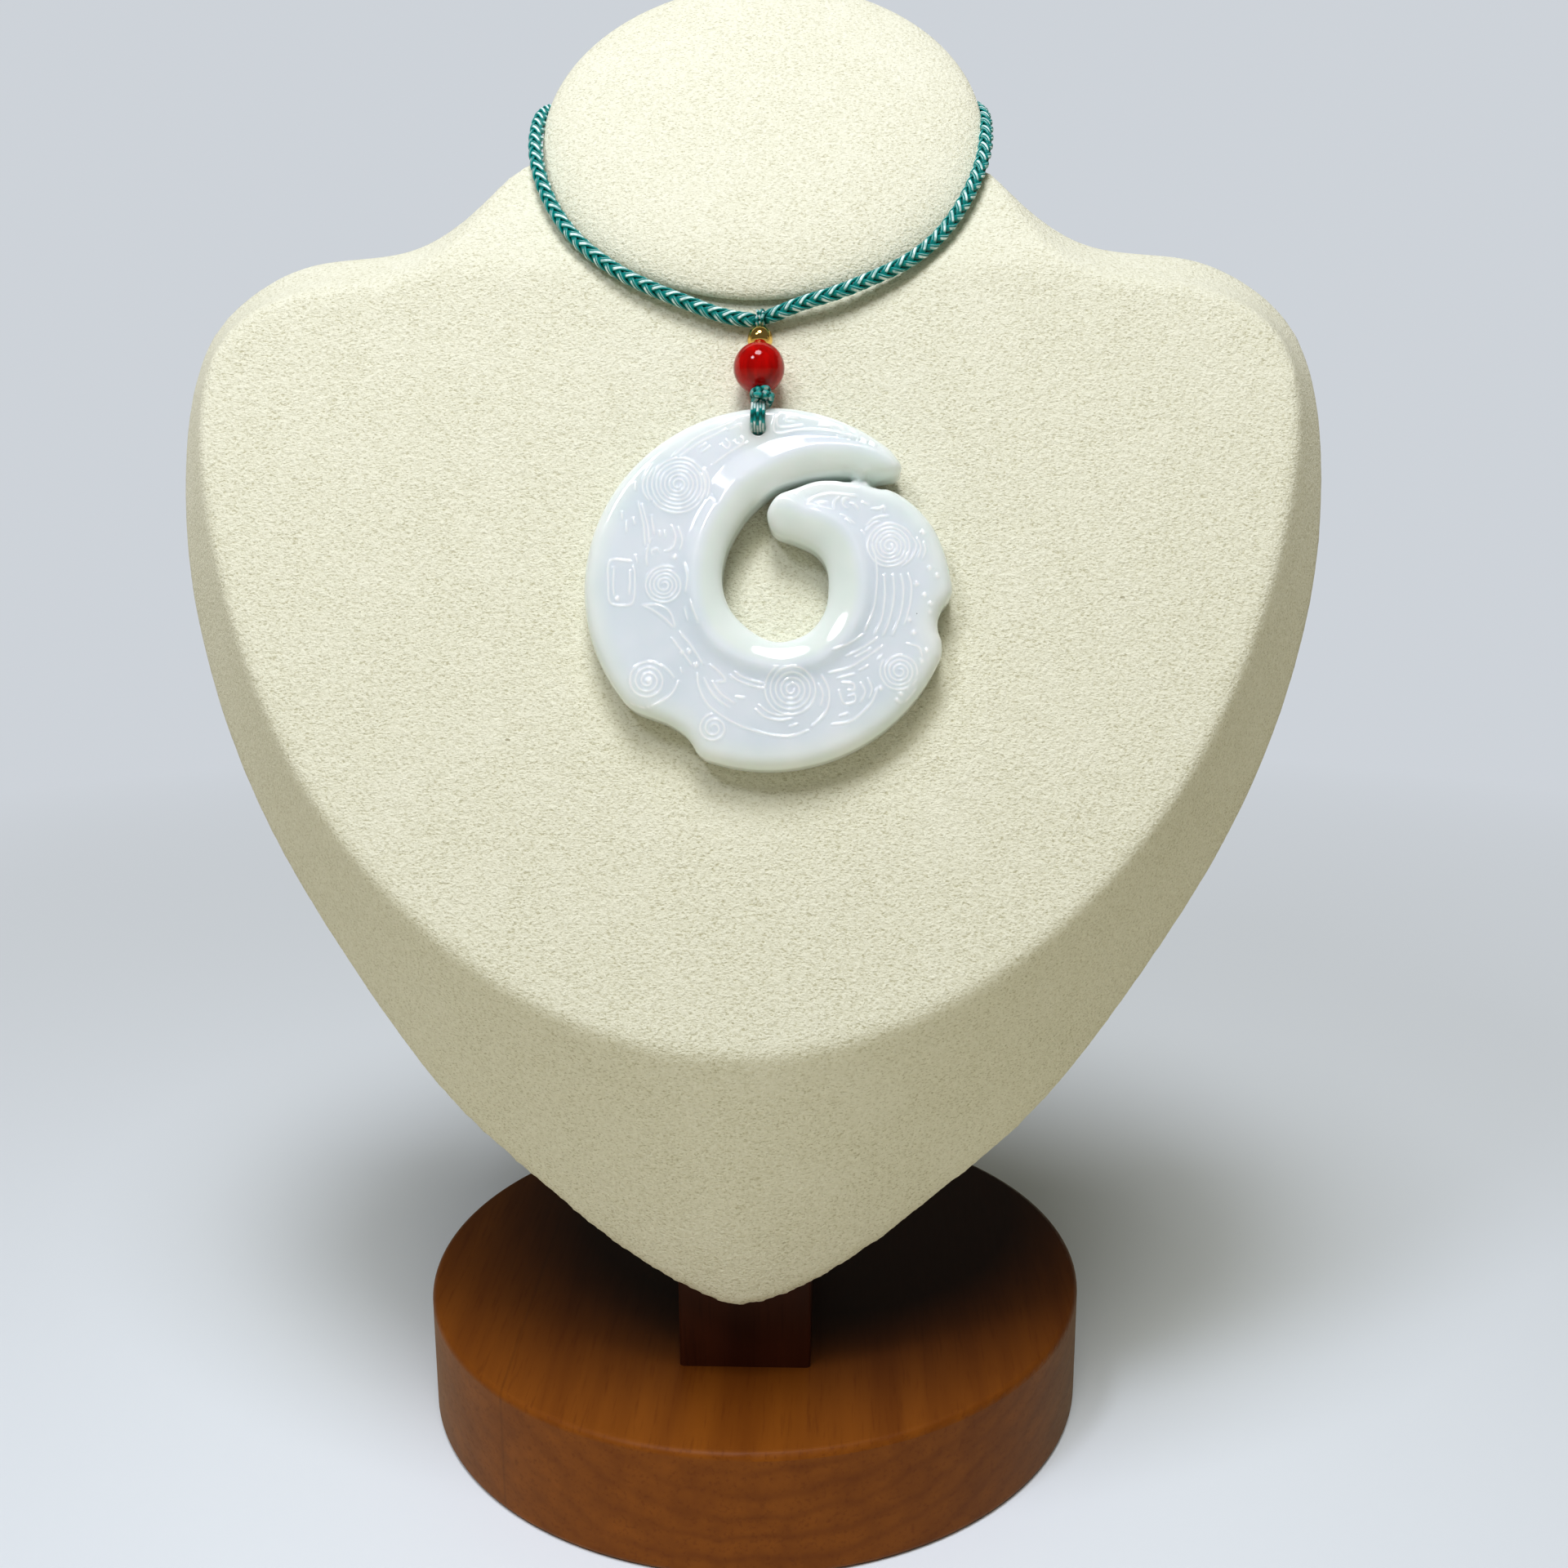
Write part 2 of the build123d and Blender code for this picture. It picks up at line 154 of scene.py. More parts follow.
def mix_colour(tree, factor, first, second):
    """Two colours mixed by a factor."""
    made = node(tree, "ShaderNodeMix", {"data_type": "RGBA"})
    for number, value in ((0, factor), (6, first), (7, second)):
        feed(tree, made.inputs[number], value)
    return made.outputs[2]


def ramp(tree, factor, low, high):
    """Nought below one value, one above another, straight between them."""
    made = node(tree, "ShaderNodeMapRange", {"clamp": True}, Value=factor, From_Min=low, From_Max=high)
    return made.outputs[0]


# %% [markdown]
# ## Materials share a few effects
#
# Real cloth, stone and wood are never one even colour. A node group called *mottle* gives a
# fine and a coarse noise on the piece's own coordinates, and each material mixes its two
# colours by it. It is built once and placed in every material that needs it.


# %% The mottle group
def mottle_group():
    """Fine grain and broad cloud from the piece's own coordinates."""
    group = bpy.data.node_groups.new("mottle", "ShaderNodeTree")
    face = group.interface
    face.new_socket("Vector", in_out="INPUT", socket_type="NodeSocketVector")
    for title in ("Grain", "Cloud"):
        face.new_socket(title + " Scale", in_out="INPUT", socket_type="NodeSocketFloat")
        face.new_socket(title, in_out="OUTPUT", socket_type="NodeSocketFloat")
    enter = group.nodes.new("NodeGroupInput").outputs
    leave = group.nodes.new("NodeGroupOutput")
    for title, detail in (("Grain", 3.0), ("Cloud", 2.0)):
        noise = node(group, "ShaderNodeTexNoise", Vector=enter["Vector"], Detail=detail, Roughness=0.6)
        fill(group, noise, Scale=enter[title + " Scale"])
        group.links.new(noise.outputs[0], leave.inputs[title])
    return group


mottle = mottle_group()


def mottled(tree, vector, grain_scale=1.0, cloud_scale=1.0):
    """The grain and the cloud of the mottle group, placed in a material."""
    made = node(tree, "ShaderNodeGroup", {"node_tree": mottle}, Vector=vector)
    fill(tree, made, Grain_Scale=grain_scale, Cloud_Scale=cloud_scale)
    return made.outputs["Grain"], made.outputs["Cloud"]


def new_material(name):
    """An empty material: itself, its tree, its shader and the piece's own coordinates."""
    material = bpy.data.materials.new(name)
    material.use_nodes = True
    tree = material.node_tree
    place = tree.nodes.new("ShaderNodeTexCoord").outputs["Object"]
    print("material", name)
    return material, tree, tree.nodes["Principled BSDF"], place


def stretched(tree, vector, scale):
    """Coordinates stretched before a pattern reads them."""
    return node(tree, "ShaderNodeMapping", Vector=vector, Scale=scale).outputs[0]


def flecks(tree, vector, scale, size, rarity):
    """One on rare small dots of a cell pattern, nought elsewhere."""
    cells = node(tree, "ShaderNodeTexVoronoi", Vector=vector, Scale=scale).outputs
    dot = calc(tree, "LESS_THAN", cells["Distance"], size)
    pick = node(tree, "ShaderNodeSeparateColor", Color=cells["Color"]).outputs[0]
    return times(tree, dot, calc(tree, "GREATER_THAN", pick, rarity))


def bump(tree, shader, height, distance, strength):
    """A bump from a height, fed to the shader's normal."""
    made = node(tree, "ShaderNodeBump", Height=height, Distance=distance, Strength=strength)
    tree.links.new(made.outputs[0], shader.inputs["Normal"])


# %% [markdown]
# ## Cream microsuede
#
# Microsuede is a very fine brushed fabric. Its nap lies in fine strokes, twice as long sideways
# as they are high, over tufts about two thirds of a millimetre across, so the noise is stretched
# sideways. Strokes and tufts catch the light (a bump) and shade each other (a colour mix), a few
# dark flecks break up the even colour, and sheen gives the soft glow of short fibres seen edge-on.

# %% Microsuede material
stroke_scale, tuft_scale = 3600.0, 1500.0
suede, tree, shader, place = new_material("cream_suede")
nap = stretched(tree, place, (0.5, 1.0, 1.0))
strokes, _ = mottled(tree, nap, grain_scale=stroke_scale)
tufts, wear = mottled(tree, stretched(tree, place, (1.0, 1.0, 0.8)), tuft_scale, 90.0)
stroke_shade = ramp(tree, strokes, 0.33, 0.47)
fibre = mix_colour(tree, stroke_shade, (0.52, 0.5, 0.34, 1), (0.835, 0.835, 0.69, 1))
between = times(tree, minus(tree, 1.0, ramp(tree, tufts, 0.34, 0.6)), 0.3)
tufted = mix_colour(tree, between, fibre, (0.58, 0.565, 0.4, 1))
rubbed = times(tree, ramp(tree, wear, 0.45, 0.75), 0.3)
worn = mix_colour(tree, rubbed, tufted, (0.87, 0.87, 0.74, 1))
fleck = times(tree, flecks(tree, nap, 170.0, 0.035, 0.88), 0.75)
flecked = mix_colour(tree, fleck, worn, (0.3, 0.27, 0.17, 1))
fill(tree, shader, Base_Color=flecked, Roughness=0.92, Specular_IOR_Level=0.15)
fill(tree, shader, Sheen_Weight=0.2, Sheen_Roughness=0.5)
pile = plus(tree, times(tree, strokes, 0.5), times(tree, tufts, 0.8))
bump(tree, shader, pile, 0.0004, 1.0)
print("tufts", round(1000 / tuft_scale, 2), "mm, strokes", round(1000 / stroke_scale, 2), "mm high")


# %% [markdown]
# ## Silky braid and thread
#
# The cord is braided from glossy teal yarn. Its colour holds painted light: a painted highlight,
# almost white, on the crown of each strand where the light would strike it, and painted shade, a
# dark green, in the valleys between strands. The braid's mesh carries an attribute called *crown*
# that is nought in the valleys and one on the crowns, so the painted highlight and shade follow
# the braid itself. Fine lines along each strand come from *around*, which runs once round every
# strand, and it also keeps the lightest stroke of the painted highlight to the middle of a strand.


# %% Yarn materials
def attribute(tree, name):
    """A number that the mesh carries."""
    return node(tree, "ShaderNodeAttribute", {"attribute_name": name}).outputs["Fac"]


def yarn(name, valley_shade, mid, crown_highlight, filaments, twist, slimness):
    """Silky yarn coloured by how far it stands out of its braid, with painted shade in the valleys and a
    painted highlight on the crowns.
    """
    material, tree, shader, place = new_material(name)
    crown, around, along = (attribute(tree, title) for title in ("crown", "around", "along"))
    grain, cloud = mottled(tree, place, 2500.0, 650.0)
    # Painted shade in the valleys and a painted highlight on the crowns, both set by crown.
    low = mix_colour(tree, ramp(tree, crown, 0.1, 0.6), valley_shade, mid)
    patchy = plus(tree, 0.45, times(tree, ramp(tree, cloud, 0.38, 0.55), 0.55))
    slim = ramp(tree, calc(tree, "COSINE", times(tree, around, 2 * pi)), *slimness)
    stroke = times(tree, times(tree, ramp(tree, crown, 0.66, 0.78), slim), patchy)
    lit = times(tree, stroke, ramp(tree, grain, 0.2, 0.4))
    colour = mix_colour(tree, lit, low, crown_highlight)
    fill(tree, shader, Base_Color=colour, Roughness=0.3, Specular_IOR_Level=0.2)
    turn = times(tree, around, 2 * pi * filaments)
    ridge = calc(tree, "SINE", plus(tree, turn, times(tree, along, twist)))
    bump(tree, shader, ridge, 0.00003, 0.6)
    return material


braid_yarn = yarn(
    "teal_braid_yarn",
    valley_shade=(0.0, 0.04, 0.034, 1),
    mid=(0.0, 0.25, 0.235, 1),
    crown_highlight=(0.82, 1.0, 1.0, 1),
    filaments=9,
    twist=900,
    slimness=(0.5, 0.75),
)
fine_yarn = yarn(
    "teal_fine_yarn",
    valley_shade=(0.0, 0.06, 0.05, 1),
    mid=(0.0, 0.29, 0.27, 1),
    crown_highlight=(0.95, 1.0, 1.0, 1),
    filaments=5,
    twist=2600,
    slimness=(-1.0, 0.4),
)

# %% [markdown]
# ## Where the cord runs
#
# The braid starts beside the thread binding above the beads, climbs along the rim of the neck
# pad, goes once round behind the neck and comes back. These are the same route points as in the
# construction file, in millimetres. A NURBS curve takes them as control points, so the line is
# smooth without any rounding of corners by hand.

# %% Cord route
cord_right = [
    (2.9, -13.0, 192.5), (4.9, -12.9, 193.2), (8.9, -12.8, 194.9), (14.5, -12.4, 196.4),
    (20.4, -11.0, 198.8), (26.1, -9.3, 201.4), (30.8, -6.7, 205.1), (34.4, -3.2, 209.8),
    (37.4, 1.1, 215.3), (39.2, 6.6, 220.9), (39.4, 13.1, 226.2), (38.5, 18.9, 228.7),
    (38.1, 24.9, 229.6), (35.5, 29.3, 229.5), (31.1, 31.8, 229.5), (22.0, 31.9, 229.5),
    (10.0, 31.5, 229.4),
]
cord_left = [
    (-10.0, 31.5, 229.4), (-20.5, 31.9, 229.5), (-27.5, 31.8, 229.5), (-31.9, 29.3, 229.5),
    (-34.6, 24.9, 229.6), (-35.4, 18.9, 228.9), (-36.0, 13.0, 226.7), (-35.8, 6.3, 221.5),
    (-34.2, 1.0, 215.5), (-30.8, -3.7, 209.2), (-26.4, -7.5, 204.3), (-20.5, -9.9, 200.1),
    (-14.5, -11.3, 197.2), (-8.7, -12.2, 195.0), (-3.4, -12.9, 193.0), (0.6, -13.0, 192.4),
    (2.4, -13.1, 192.3),
]


def nurbs_line(name, *routes, steps=12):
    """Open NURBS lines with these points, in millimetres, as their control points."""
    curve = bpy.data.curves.new(name, "CURVE")
    curve.dimensions = "3D"
    curve.resolution_u = steps
    for points in routes:
        spline = curve.splines.new("NURBS")
        spline.points.add(len(points) - 1)
        for control, place in zip(spline.points, points):
            control.co = (*(Vector(place) * MM), 1)
        spline.order_u = 3
        spline.use_endpoint_u = True
    return new_object(name, curve)


def line_points(line):
    """The points along a curve that has no bevel."""
    mesh = bpy.data.meshes.new_from_object(line)
    points = [vertex.co.copy() for vertex in mesh.vertices]
    bpy.data.meshes.remove(mesh)
    return points


cord_line = nurbs_line("cord_line", cord_right + cord_left)
cord_path = line_points(cord_line)


# %% [markdown]
# ## Geometry Nodes helpers
#
# What repeats along a path is a job for Geometry Nodes. Each tree gets its sizes as named
# inputs. The modifier's inputs are set by socket identifier before the object is evaluated, and
# the result is then copied out as a plain mesh.


# %% Tree and modifier helpers
def new_tree(name, sizes):
    """A Geometry Nodes tree with its inputs; whole numbers make integer sockets."""
    tree = bpy.data.node_groups.new(name, "GeometryNodeTree")
    face = tree.interface
    face.new_socket("Geometry", in_out="INPUT", socket_type="NodeSocketGeometry")
    face.new_socket("Geometry", in_out="OUTPUT", socket_type="NodeSocketGeometry")
    for title, value in sizes.items():
        kind = "NodeSocketInt" if isinstance(value, int) else "NodeSocketFloat"
        face.new_socket(title, in_out="INPUT", socket_type=kind).default_value = value
    face.new_socket("Material", in_out="INPUT", socket_type="NodeSocketMaterial")
    print("tree", name, "with inputs", ", ".join(sizes))
    return tree, tree.nodes.new("NodeGroupInput").outputs


def end_tree(tree, geometry, enter):
    """Close a tree: instances made real, material set."""
    real = node(tree, "GeometryNodeRealizeInstances", Geometry=geometry)
    painted = node(tree, "GeometryNodeSetMaterial", Geometry=real.outputs[0], Material=enter["Material"])
    smooth = node(tree, "GeometryNodeSetShadeSmooth", Geometry=painted.outputs[0])
    tree.links.new(smooth.outputs[0], tree.nodes.new("NodeGroupOutput").inputs[0])


def here_in(tree):
    """The place of each point."""
    return tree.nodes.new("GeometryNodeInputPosition").outputs[0]


def spline_share(tree):
    """How far along its curve each point lies, from nought to one."""
    return tree.nodes.new("GeometryNodeSplineParameter").outputs["Factor"]


def stored(tree, geometry, name, value):
    """Geometry whose points keep a number under a name."""
    kept = node(tree, "GeometryNodeStoreNamedAttribute", Geometry=geometry, Name=name, Value=value)
    return kept.outputs[0]


def recalled(tree, name):
    """The number that the points keep under a name."""
    kept = node(tree, "GeometryNodeInputNamedAttribute", {"data_type": "FLOAT"}, Name=name)
    return kept.outputs["Attribute"]


def even_curve(tree, curve, count):
    """A curve with evenly spaced points."""
    return node(tree, "GeometryNodeResampleCurve", Curve=curve, Count=count).outputs[0]


def sampled(tree, curve, share):
    """Position, tangent and normal at a share of a curve's length."""
    return node(tree, "GeometryNodeSampleCurve", {"mode": "FACTOR"}, Curves=curve, Factor=share).outputs


def round_section(tree, radius, sides):
    """A round profile."""
    return node(tree, "GeometryNodeCurvePrimitiveCircle", Resolution=sides, Radius=radius).outputs[0]


def skinned(tree, curve, profile):
    """A closed skin along a curve, with a profile as its section."""
    made = node(tree, "GeometryNodeCurveToMesh", Curve=curve, Profile_Curve=profile, Fill_Caps=True)
    return made.outputs[0]


def baked(piece, name):
    """The mesh of a piece after its modifiers; the working piece is removed."""
    ready = piece.evaluated_get(bpy.context.evaluated_depsgraph_get())
    mesh = bpy.data.meshes.new_from_object(ready)
    mesh.name = name
    bpy.data.objects.remove(piece)
    return mesh


def grown(name, carrier, tree, material, **sizes):
    """The plain mesh that a tree makes on a carrier object, which is then removed."""
    modifier = carrier.modifiers.new("grow", "NODES")
    modifier.node_group = tree
    values = {title.replace("_", " "): value for title, value in sizes.items()}
    values["Material"] = material
    for socket in tree.interface.items_tree:
        if socket.in_out == "INPUT" and socket.name in values:
            modifier[socket.identifier] = values[socket.name]
    return baked(carrier, name)


def show(name, mesh, slot, *replaced, body="root"):
    """A finished piece: linked, riding on its body, with the nodes it stands for hidden; its slot is not
    used.
    """
    piece = new_object(name, mesh)
    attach(piece, body)
    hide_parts(*replaced)
    triangles = sum(len(face.vertices) - 2 for face in mesh.polygons)
    print(name, triangles, "triangles")
    return piece


# %% [markdown]
# ## The braid
#
# Eight strands make this cord, four winding one way and four the other. Seen from the front
# they make a chain of V shapes, because each strand lies on top for a quarter turn and then
# dives below. That is a sine of twice its angle, and the two directions have opposite signs, so
# wherever two strands cross, one is out and the other is in.


# %% Braid tree
def braid_tree():
    """Eight strands that follow the incoming curve."""
    sizes = {
        "Samples": 800,
        "Turns": 24.0,
        "Middle Radius": 0.0008,
        "Weave": 0.0002,
        "Half Width": 0.0005,
        "Half Thickness": 0.00027,
        "Core": 0.0007,
    }
    tree, enter = new_tree("braid", sizes)
    count = enter["Samples"]
    line = even_curve(tree, node(tree, "GeometryNodeCurvePrimitiveLine").outputs[0], count)
    eight = node(tree, "GeometryNodeDuplicateElements", {"domain": "SPLINE"}, Geometry=line, Amount=8)
    index = tree.nodes.new("GeometryNodeInputIndex").outputs[0]
    share = calc(tree, "DIVIDE", calc(tree, "MODULO", index, count), minus(tree, count, 1.0))
    strand = calc(tree, "FLOOR", calc(tree, "DIVIDE", plus(tree, index, 0.5), count))
    odd = calc(tree, "MODULO", strand, 2.0)
    way = minus(tree, 1.0, times(tree, odd, 2.0))
    quarter = times(tree, calc(tree, "FLOOR", calc(tree, "DIVIDE", strand, 2.0)), 0.25)
    start = plus(tree, quarter, times(tree, odd, 0.125))
    wound = times(tree, times(tree, share, enter["Turns"]), way)
    angle = times(tree, plus(tree, wound, start), 2 * pi)
    sway = calc(tree, "SINE", times(tree, angle, 2.0))
    reach = plus(tree, enter["Middle Radius"], times(tree, times(tree, sway, way), enter["Weave"]))
    edge = calc(tree, "MINIMUM", share, minus(tree, 1.0, share))
    taper = plus(tree, 0.55, times(tree, ramp(tree, edge, 0.0, 0.006), 0.45))

    guide = sampled(tree, enter["Geometry"], share)
    side = vector_calc(tree, "CROSS_PRODUCT", guide["Tangent"], guide["Normal"])
    part_out = vector_calc(tree, "SCALE", guide["Normal"], calc(tree, "COSINE", angle))
    part_aside = vector_calc(tree, "SCALE", side, calc(tree, "SINE", angle))
    outward = vector_calc(tree, "ADD", part_out, part_aside)
    offset = vector_calc(tree, "SCALE", outward, times(tree, reach, taper))
    place = vector_calc(tree, "ADD", guide["Position"], offset)
    laid = node(tree, "GeometryNodeSetPosition", Geometry=eight.outputs[0], Position=place)
    facing = node(
        tree, "GeometryNodeSetCurveNormal", {"mode": "FREE"}, Curve=laid.outputs[0], Normal=outward
    )
    sized = node(tree, "GeometryNodeSetCurveRadius", Curve=facing.outputs[0], Radius=taper)
    strands = stored(tree, sized.outputs[0], "along", share)
    half = node(tree, "ShaderNodeCombineXYZ", X=enter["Half Thickness"], Y=enter["Half Width"], Z=1.0)
    disc = round_section(tree, 1.0, 10)
    section = node(tree, "GeometryNodeTransform", Geometry=disc, Scale=half.outputs[0]).outputs[0]
    woven = skinned(tree, strands, stored(tree, section, "around", spline_share(tree)))
    spine = even_curve(tree, enter["Geometry"], 300)
    core = skinned(tree, spine, round_section(tree, enter["Core"], 8))
    axis = sampled(tree, enter["Geometry"], recalled(tree, "along"))["Position"]
    # How far each point stands out from the cord's axis, kept as crown; the yarn paints its highlight
    # and shade by it.
    height = ramp(tree, vector_calc(tree, "DISTANCE", here_in(tree), axis), 0.0008, 0.00126)
    joined = tree.nodes.new("GeometryNodeJoinGeometry")
    for part in (stored(tree, woven, "crown", height), core):
        tree.links.new(part, joined.inputs[0])
    end_tree(tree, joined.outputs[0], enter)
    return tree


# %% Braid piece
braid_mesh = grown("braid", cord_line, braid_tree(), braid_yarn)
braid = show("braid", braid_mesh, "teal_braid", "neck_cord")

# %% [markdown]
# ## Wound threads
#
# The hidden closing knot behind the neck is yarn wound round the braid. A spiral curve with a
# small round section makes it, with the turns, the length and the two radii as inputs. It is
# made along Z and then turned into place in its mesh.


# %% Winding tree
def winding_tree():
    """A close spiral of thread round a core, along Z and centred."""
    sizes = {"Turns": 5.0, "Length": 0.002, "Radius": 0.001, "Thread": 0.0002, "Fine": 28}
    tree, enter = new_tree("winding", sizes)
    coil = node(
        tree,
        "GeometryNodeCurveSpiral",
        Resolution=enter["Fine"],
        Rotations=enter["Turns"],
        Start_Radius=enter["Radius"],
        End_Radius=enter["Radius"],
        Height=enter["Length"],
    ).outputs[0]
    share = spline_share(tree)
    section = stored(tree, round_section(tree, enter["Thread"], 8), "around", share)
    thread = skinned(tree, stored(tree, coil, "along", share), section)
    here = node(tree, "ShaderNodeSeparateXYZ", Vector=here_in(tree)).outputs
    flat = node(tree, "ShaderNodeCombineXYZ", X=here[0], Y=here[1]).outputs[0]
    out = minus(tree, vector_calc(tree, "LENGTH", flat), enter["Radius"])
    # How far the thread stands out of the winding, kept as crown; the yarn paints its highlight and
    # shade by it.
    height = ramp(tree, calc(tree, "DIVIDE", out, enter["Thread"]), -0.4, 1.0)
    crowned = stored(tree, thread, "crown", height)
    half = node(tree, "ShaderNodeCombineXYZ", Z=times(tree, enter["Length"], -0.5)).outputs[0]
    centred = node(tree, "GeometryNodeTransform", Geometry=crowned, Translation=half)
    end_tree(tree, centred.outputs[0], enter)
    return tree


winding = winding_tree()


def wound(name, material, place, direction, **sizes):
    """A winding with its axis along a direction and its middle at a place in millimetres."""
    carrier = new_object("carrier", bpy.data.meshes.new("carrier"))
    mesh = grown(name, carrier, winding, material, **sizes)
    turn = Vector((0, 0, 1)).rotation_difference(Vector(direction))
    mesh.transform(Matrix.LocRotScale(Vector(place) * MM, turn, None))
    return mesh


# %% Knot behind the neck
nape_sizes = {"Turns": 5.5, "Length": 0.005, "Radius": 0.00185, "Thread": 0.00052}
nape_mesh = wound("closing_knot", braid_yarn, (0, 31.5, 229.4), (1, 0, 0), **nape_sizes)
closing_knot = show("closing_knot", nape_mesh, "teal_braid", "nape_knot")

# %% [markdown]
# ## The bust's cover
#
# Under the suede is a firm foam shape, so the cover is tight and smooth and only its edges are
# soft. The construction solid already has the right form with sharp edges. A copy of it is
# merged, the pad at the neck is cut away, and a voxel remesh turns the rest into even little
# faces. Smoothing rounds them off by a few millimetres, as foam does under cloth. The copy is
# turned askew for the remesh: long edges that run almost along the voxel grid would otherwise
# come out wavy. The mesh is then thinned, and its lowest part is drawn down a little, because
# smoothing shortens the tip.

# %% Oval pad frame
oval_middle = Vector((1.95, 7.0, 225.2))
oval_rise = radians(38)
oval_up = Vector((0, sin(oval_rise), cos(oval_rise)))
oval_out = Vector((0, -cos(oval_rise), sin(oval_rise)))
oval_across = Vector((1, 0, 0))
oval_half = (36.9, 35.4)


def mesh_from(name, points, faces, material):
    """A smooth mesh from points in millimetres, with its normals facing out."""
    mesh = bpy.data.meshes.new(name)
    mesh.from_pydata([tuple(Vector(point) * MM) for point in points], [], faces)
    shape = bmesh.new()
    shape.from_mesh(mesh)
    bmesh.ops.remove_doubles(shape, verts=shape.verts, dist=1e-7)
    bmesh.ops.recalc_face_normals(shape, faces=shape.faces)
    shape.to_mesh(mesh)
    shape.free()
    if material:
        mesh.materials.append(material)
    mesh.shade_smooth()
    return mesh


def ring_faces(rows, columns):
    """Faces of a closed tube of rings, with a point at each end."""
    top = rows * columns
    last = top - columns
    faces = []
    for first in range(0, last, columns):
        for column in range(columns):
            here, after = first + column, first + (column + 1) % columns
            faces.append((here, after, after + columns, here + columns))
    for column in range(columns):
        after = (column + 1) % columns
        faces.append((top, after, column))
        faces.append((top + 1, last + column, last + after))
    return faces


def oval_point(across, up, out):
    """A place on the oval pad's own plane, in millimetres."""
    return oval_middle + oval_across * across + oval_up * up + oval_out * out


# %% Cut, remesh and soften
def copy_of(name):
    """A merged copy of a CAD node."""
    shape = bmesh.new()
    shape.from_mesh(nodes[name].data)
    bmesh.ops.remove_doubles(shape, verts=shape.verts, dist=1e-6)
    mesh = bpy.data.meshes.new(name + "_copy")
    shape.to_mesh(mesh)
    shape.free()
    return new_object(name + "_copy", mesh)


def pad_cutter(clearance, bottom, top, columns=96):
    """An oval plug that takes the pad's space out of the bust, deeper at the front than behind."""
    across, up = (half + clearance for half in oval_half)
    places = []
    for out in (bottom, top):
        for column in range(columns):
            turn = 2 * pi * column / columns
            places.append(oval_point(across * cos(turn), up * sin(turn), out + sin(turn)))
    places += [oval_point(0, 0, bottom), oval_point(0, 0, top)]
    return new_object("plug", mesh_from("plug", places, ring_faces(2, columns), None))


bust_copy = copy_of("neck_bust")
plug = pad_cutter(clearance=1.0, bottom=-3.8, top=9.0)
cut = bust_copy.modifiers.new("cut", "BOOLEAN")
cut.operation = "DIFFERENCE"
cut.solver = "EXACT"
cut.object = plug
opened = new_object("opened", baked(bust_copy, "opened"))
bpy.data.objects.remove(plug)

voxel_side, smooth_steps, thin_share = 0.75, 24, 0.4
tip_reach, tip_drop = 34, 1.7
askew = Matrix.Rotation(0.53, 4, "X") @ Matrix.Rotation(0.37, 4, "Y")
askew = askew @ Matrix.Rotation(0.71, 4, "Z")
opened.data.transform(askew)
even = opened.modifiers.new("even", "REMESH")
even.mode = "VOXEL"
even.voxel_size = voxel_side * MM
soften = opened.modifiers.new("soften", "SMOOTH")
soften.factor = 0.5
soften.iterations = smooth_steps
thin = opened.modifiers.new("thin", "DECIMATE")
thin.ratio = thin_share
cover_mesh = baked(opened, "bust_cover")
cover_mesh.transform(askew.inverted())
cover_points = np.empty(len(cover_mesh.vertices) * 3)
cover_mesh.vertices.foreach_get("co", cover_points)
cover_points = cover_points.reshape(-1, 3)
above_tip = cover_points[:, 2] - cover_points[:, 2].min()
near_tip = np.clip(1 - above_tip / (tip_reach * MM), 0, 1)
cover_points[:, 2] -= tip_drop * MM * near_tip**1.5
cover_mesh.vertices.foreach_set("co", cover_points.ravel())
print("cover's tip at", round(cover_points[:, 2].min() / MM, 1), "mm")
cover_mesh.materials.append(suede)
cover_mesh.shade_smooth()
bust_cover = show("bust_cover", cover_mesh, "cream_velvet", "neck_bust")

# %% [markdown]
# ## The pad at the neck
#
# The neck ends in an oval pad, like a small firm cushion set on a slant. Its face is slightly
# crowned and its rim rolls over softly. It is drawn as rings from the middle of the face, over
# the rim, to the middle of the back, with a flattened power curve for the roll.


# %% Neck pad
def pad_mesh(columns=160, rows=34):
    """A crowned oval cushion whose widest ring lies far back, so its face rolls over gently."""
    widest, front, back, roll, lift, crown = -3.9, 4.5, 0.9, 3.0, 0.8, 0.5
    places = []
    for row in range(1, 2 * rows):
        share = sin(pi * row / (2 * rows)) ** 0.7
        depth = front if row <= rows else -back
        out = widest + depth * max(0.0, 1 - share**roll) ** 0.5
        if row <= rows:
            out += crown * (1 - share**2)
        for column in range(columns):
            turn = 2 * pi * column / columns
            across = oval_half[0] * share * cos(turn)
            up = oval_half[1] * share * sin(turn) + lift
            places.append(oval_point(across, up, out))
    places.append(oval_point(0, lift, widest + front + crown))
    places.append(oval_point(0, lift, widest - back))
    return mesh_from("neck_pad", places, ring_faces(2 * rows - 1, columns), suede)


neck_pad = show("neck_pad", pad_mesh(), "cream_velvet", "neck_bust")

# %% [markdown]
# ## Milky jade
#
# Fine white jade lets light in a little way and scatters it, so its shadows are pale and its
# edges glow. Subsurface scattering does that. The polish is high, so the roughness is low. Real
# stone has soft clouds and a few dark specks, which come from a slow noise and from the rare
# small cells of a Voronoi pattern.

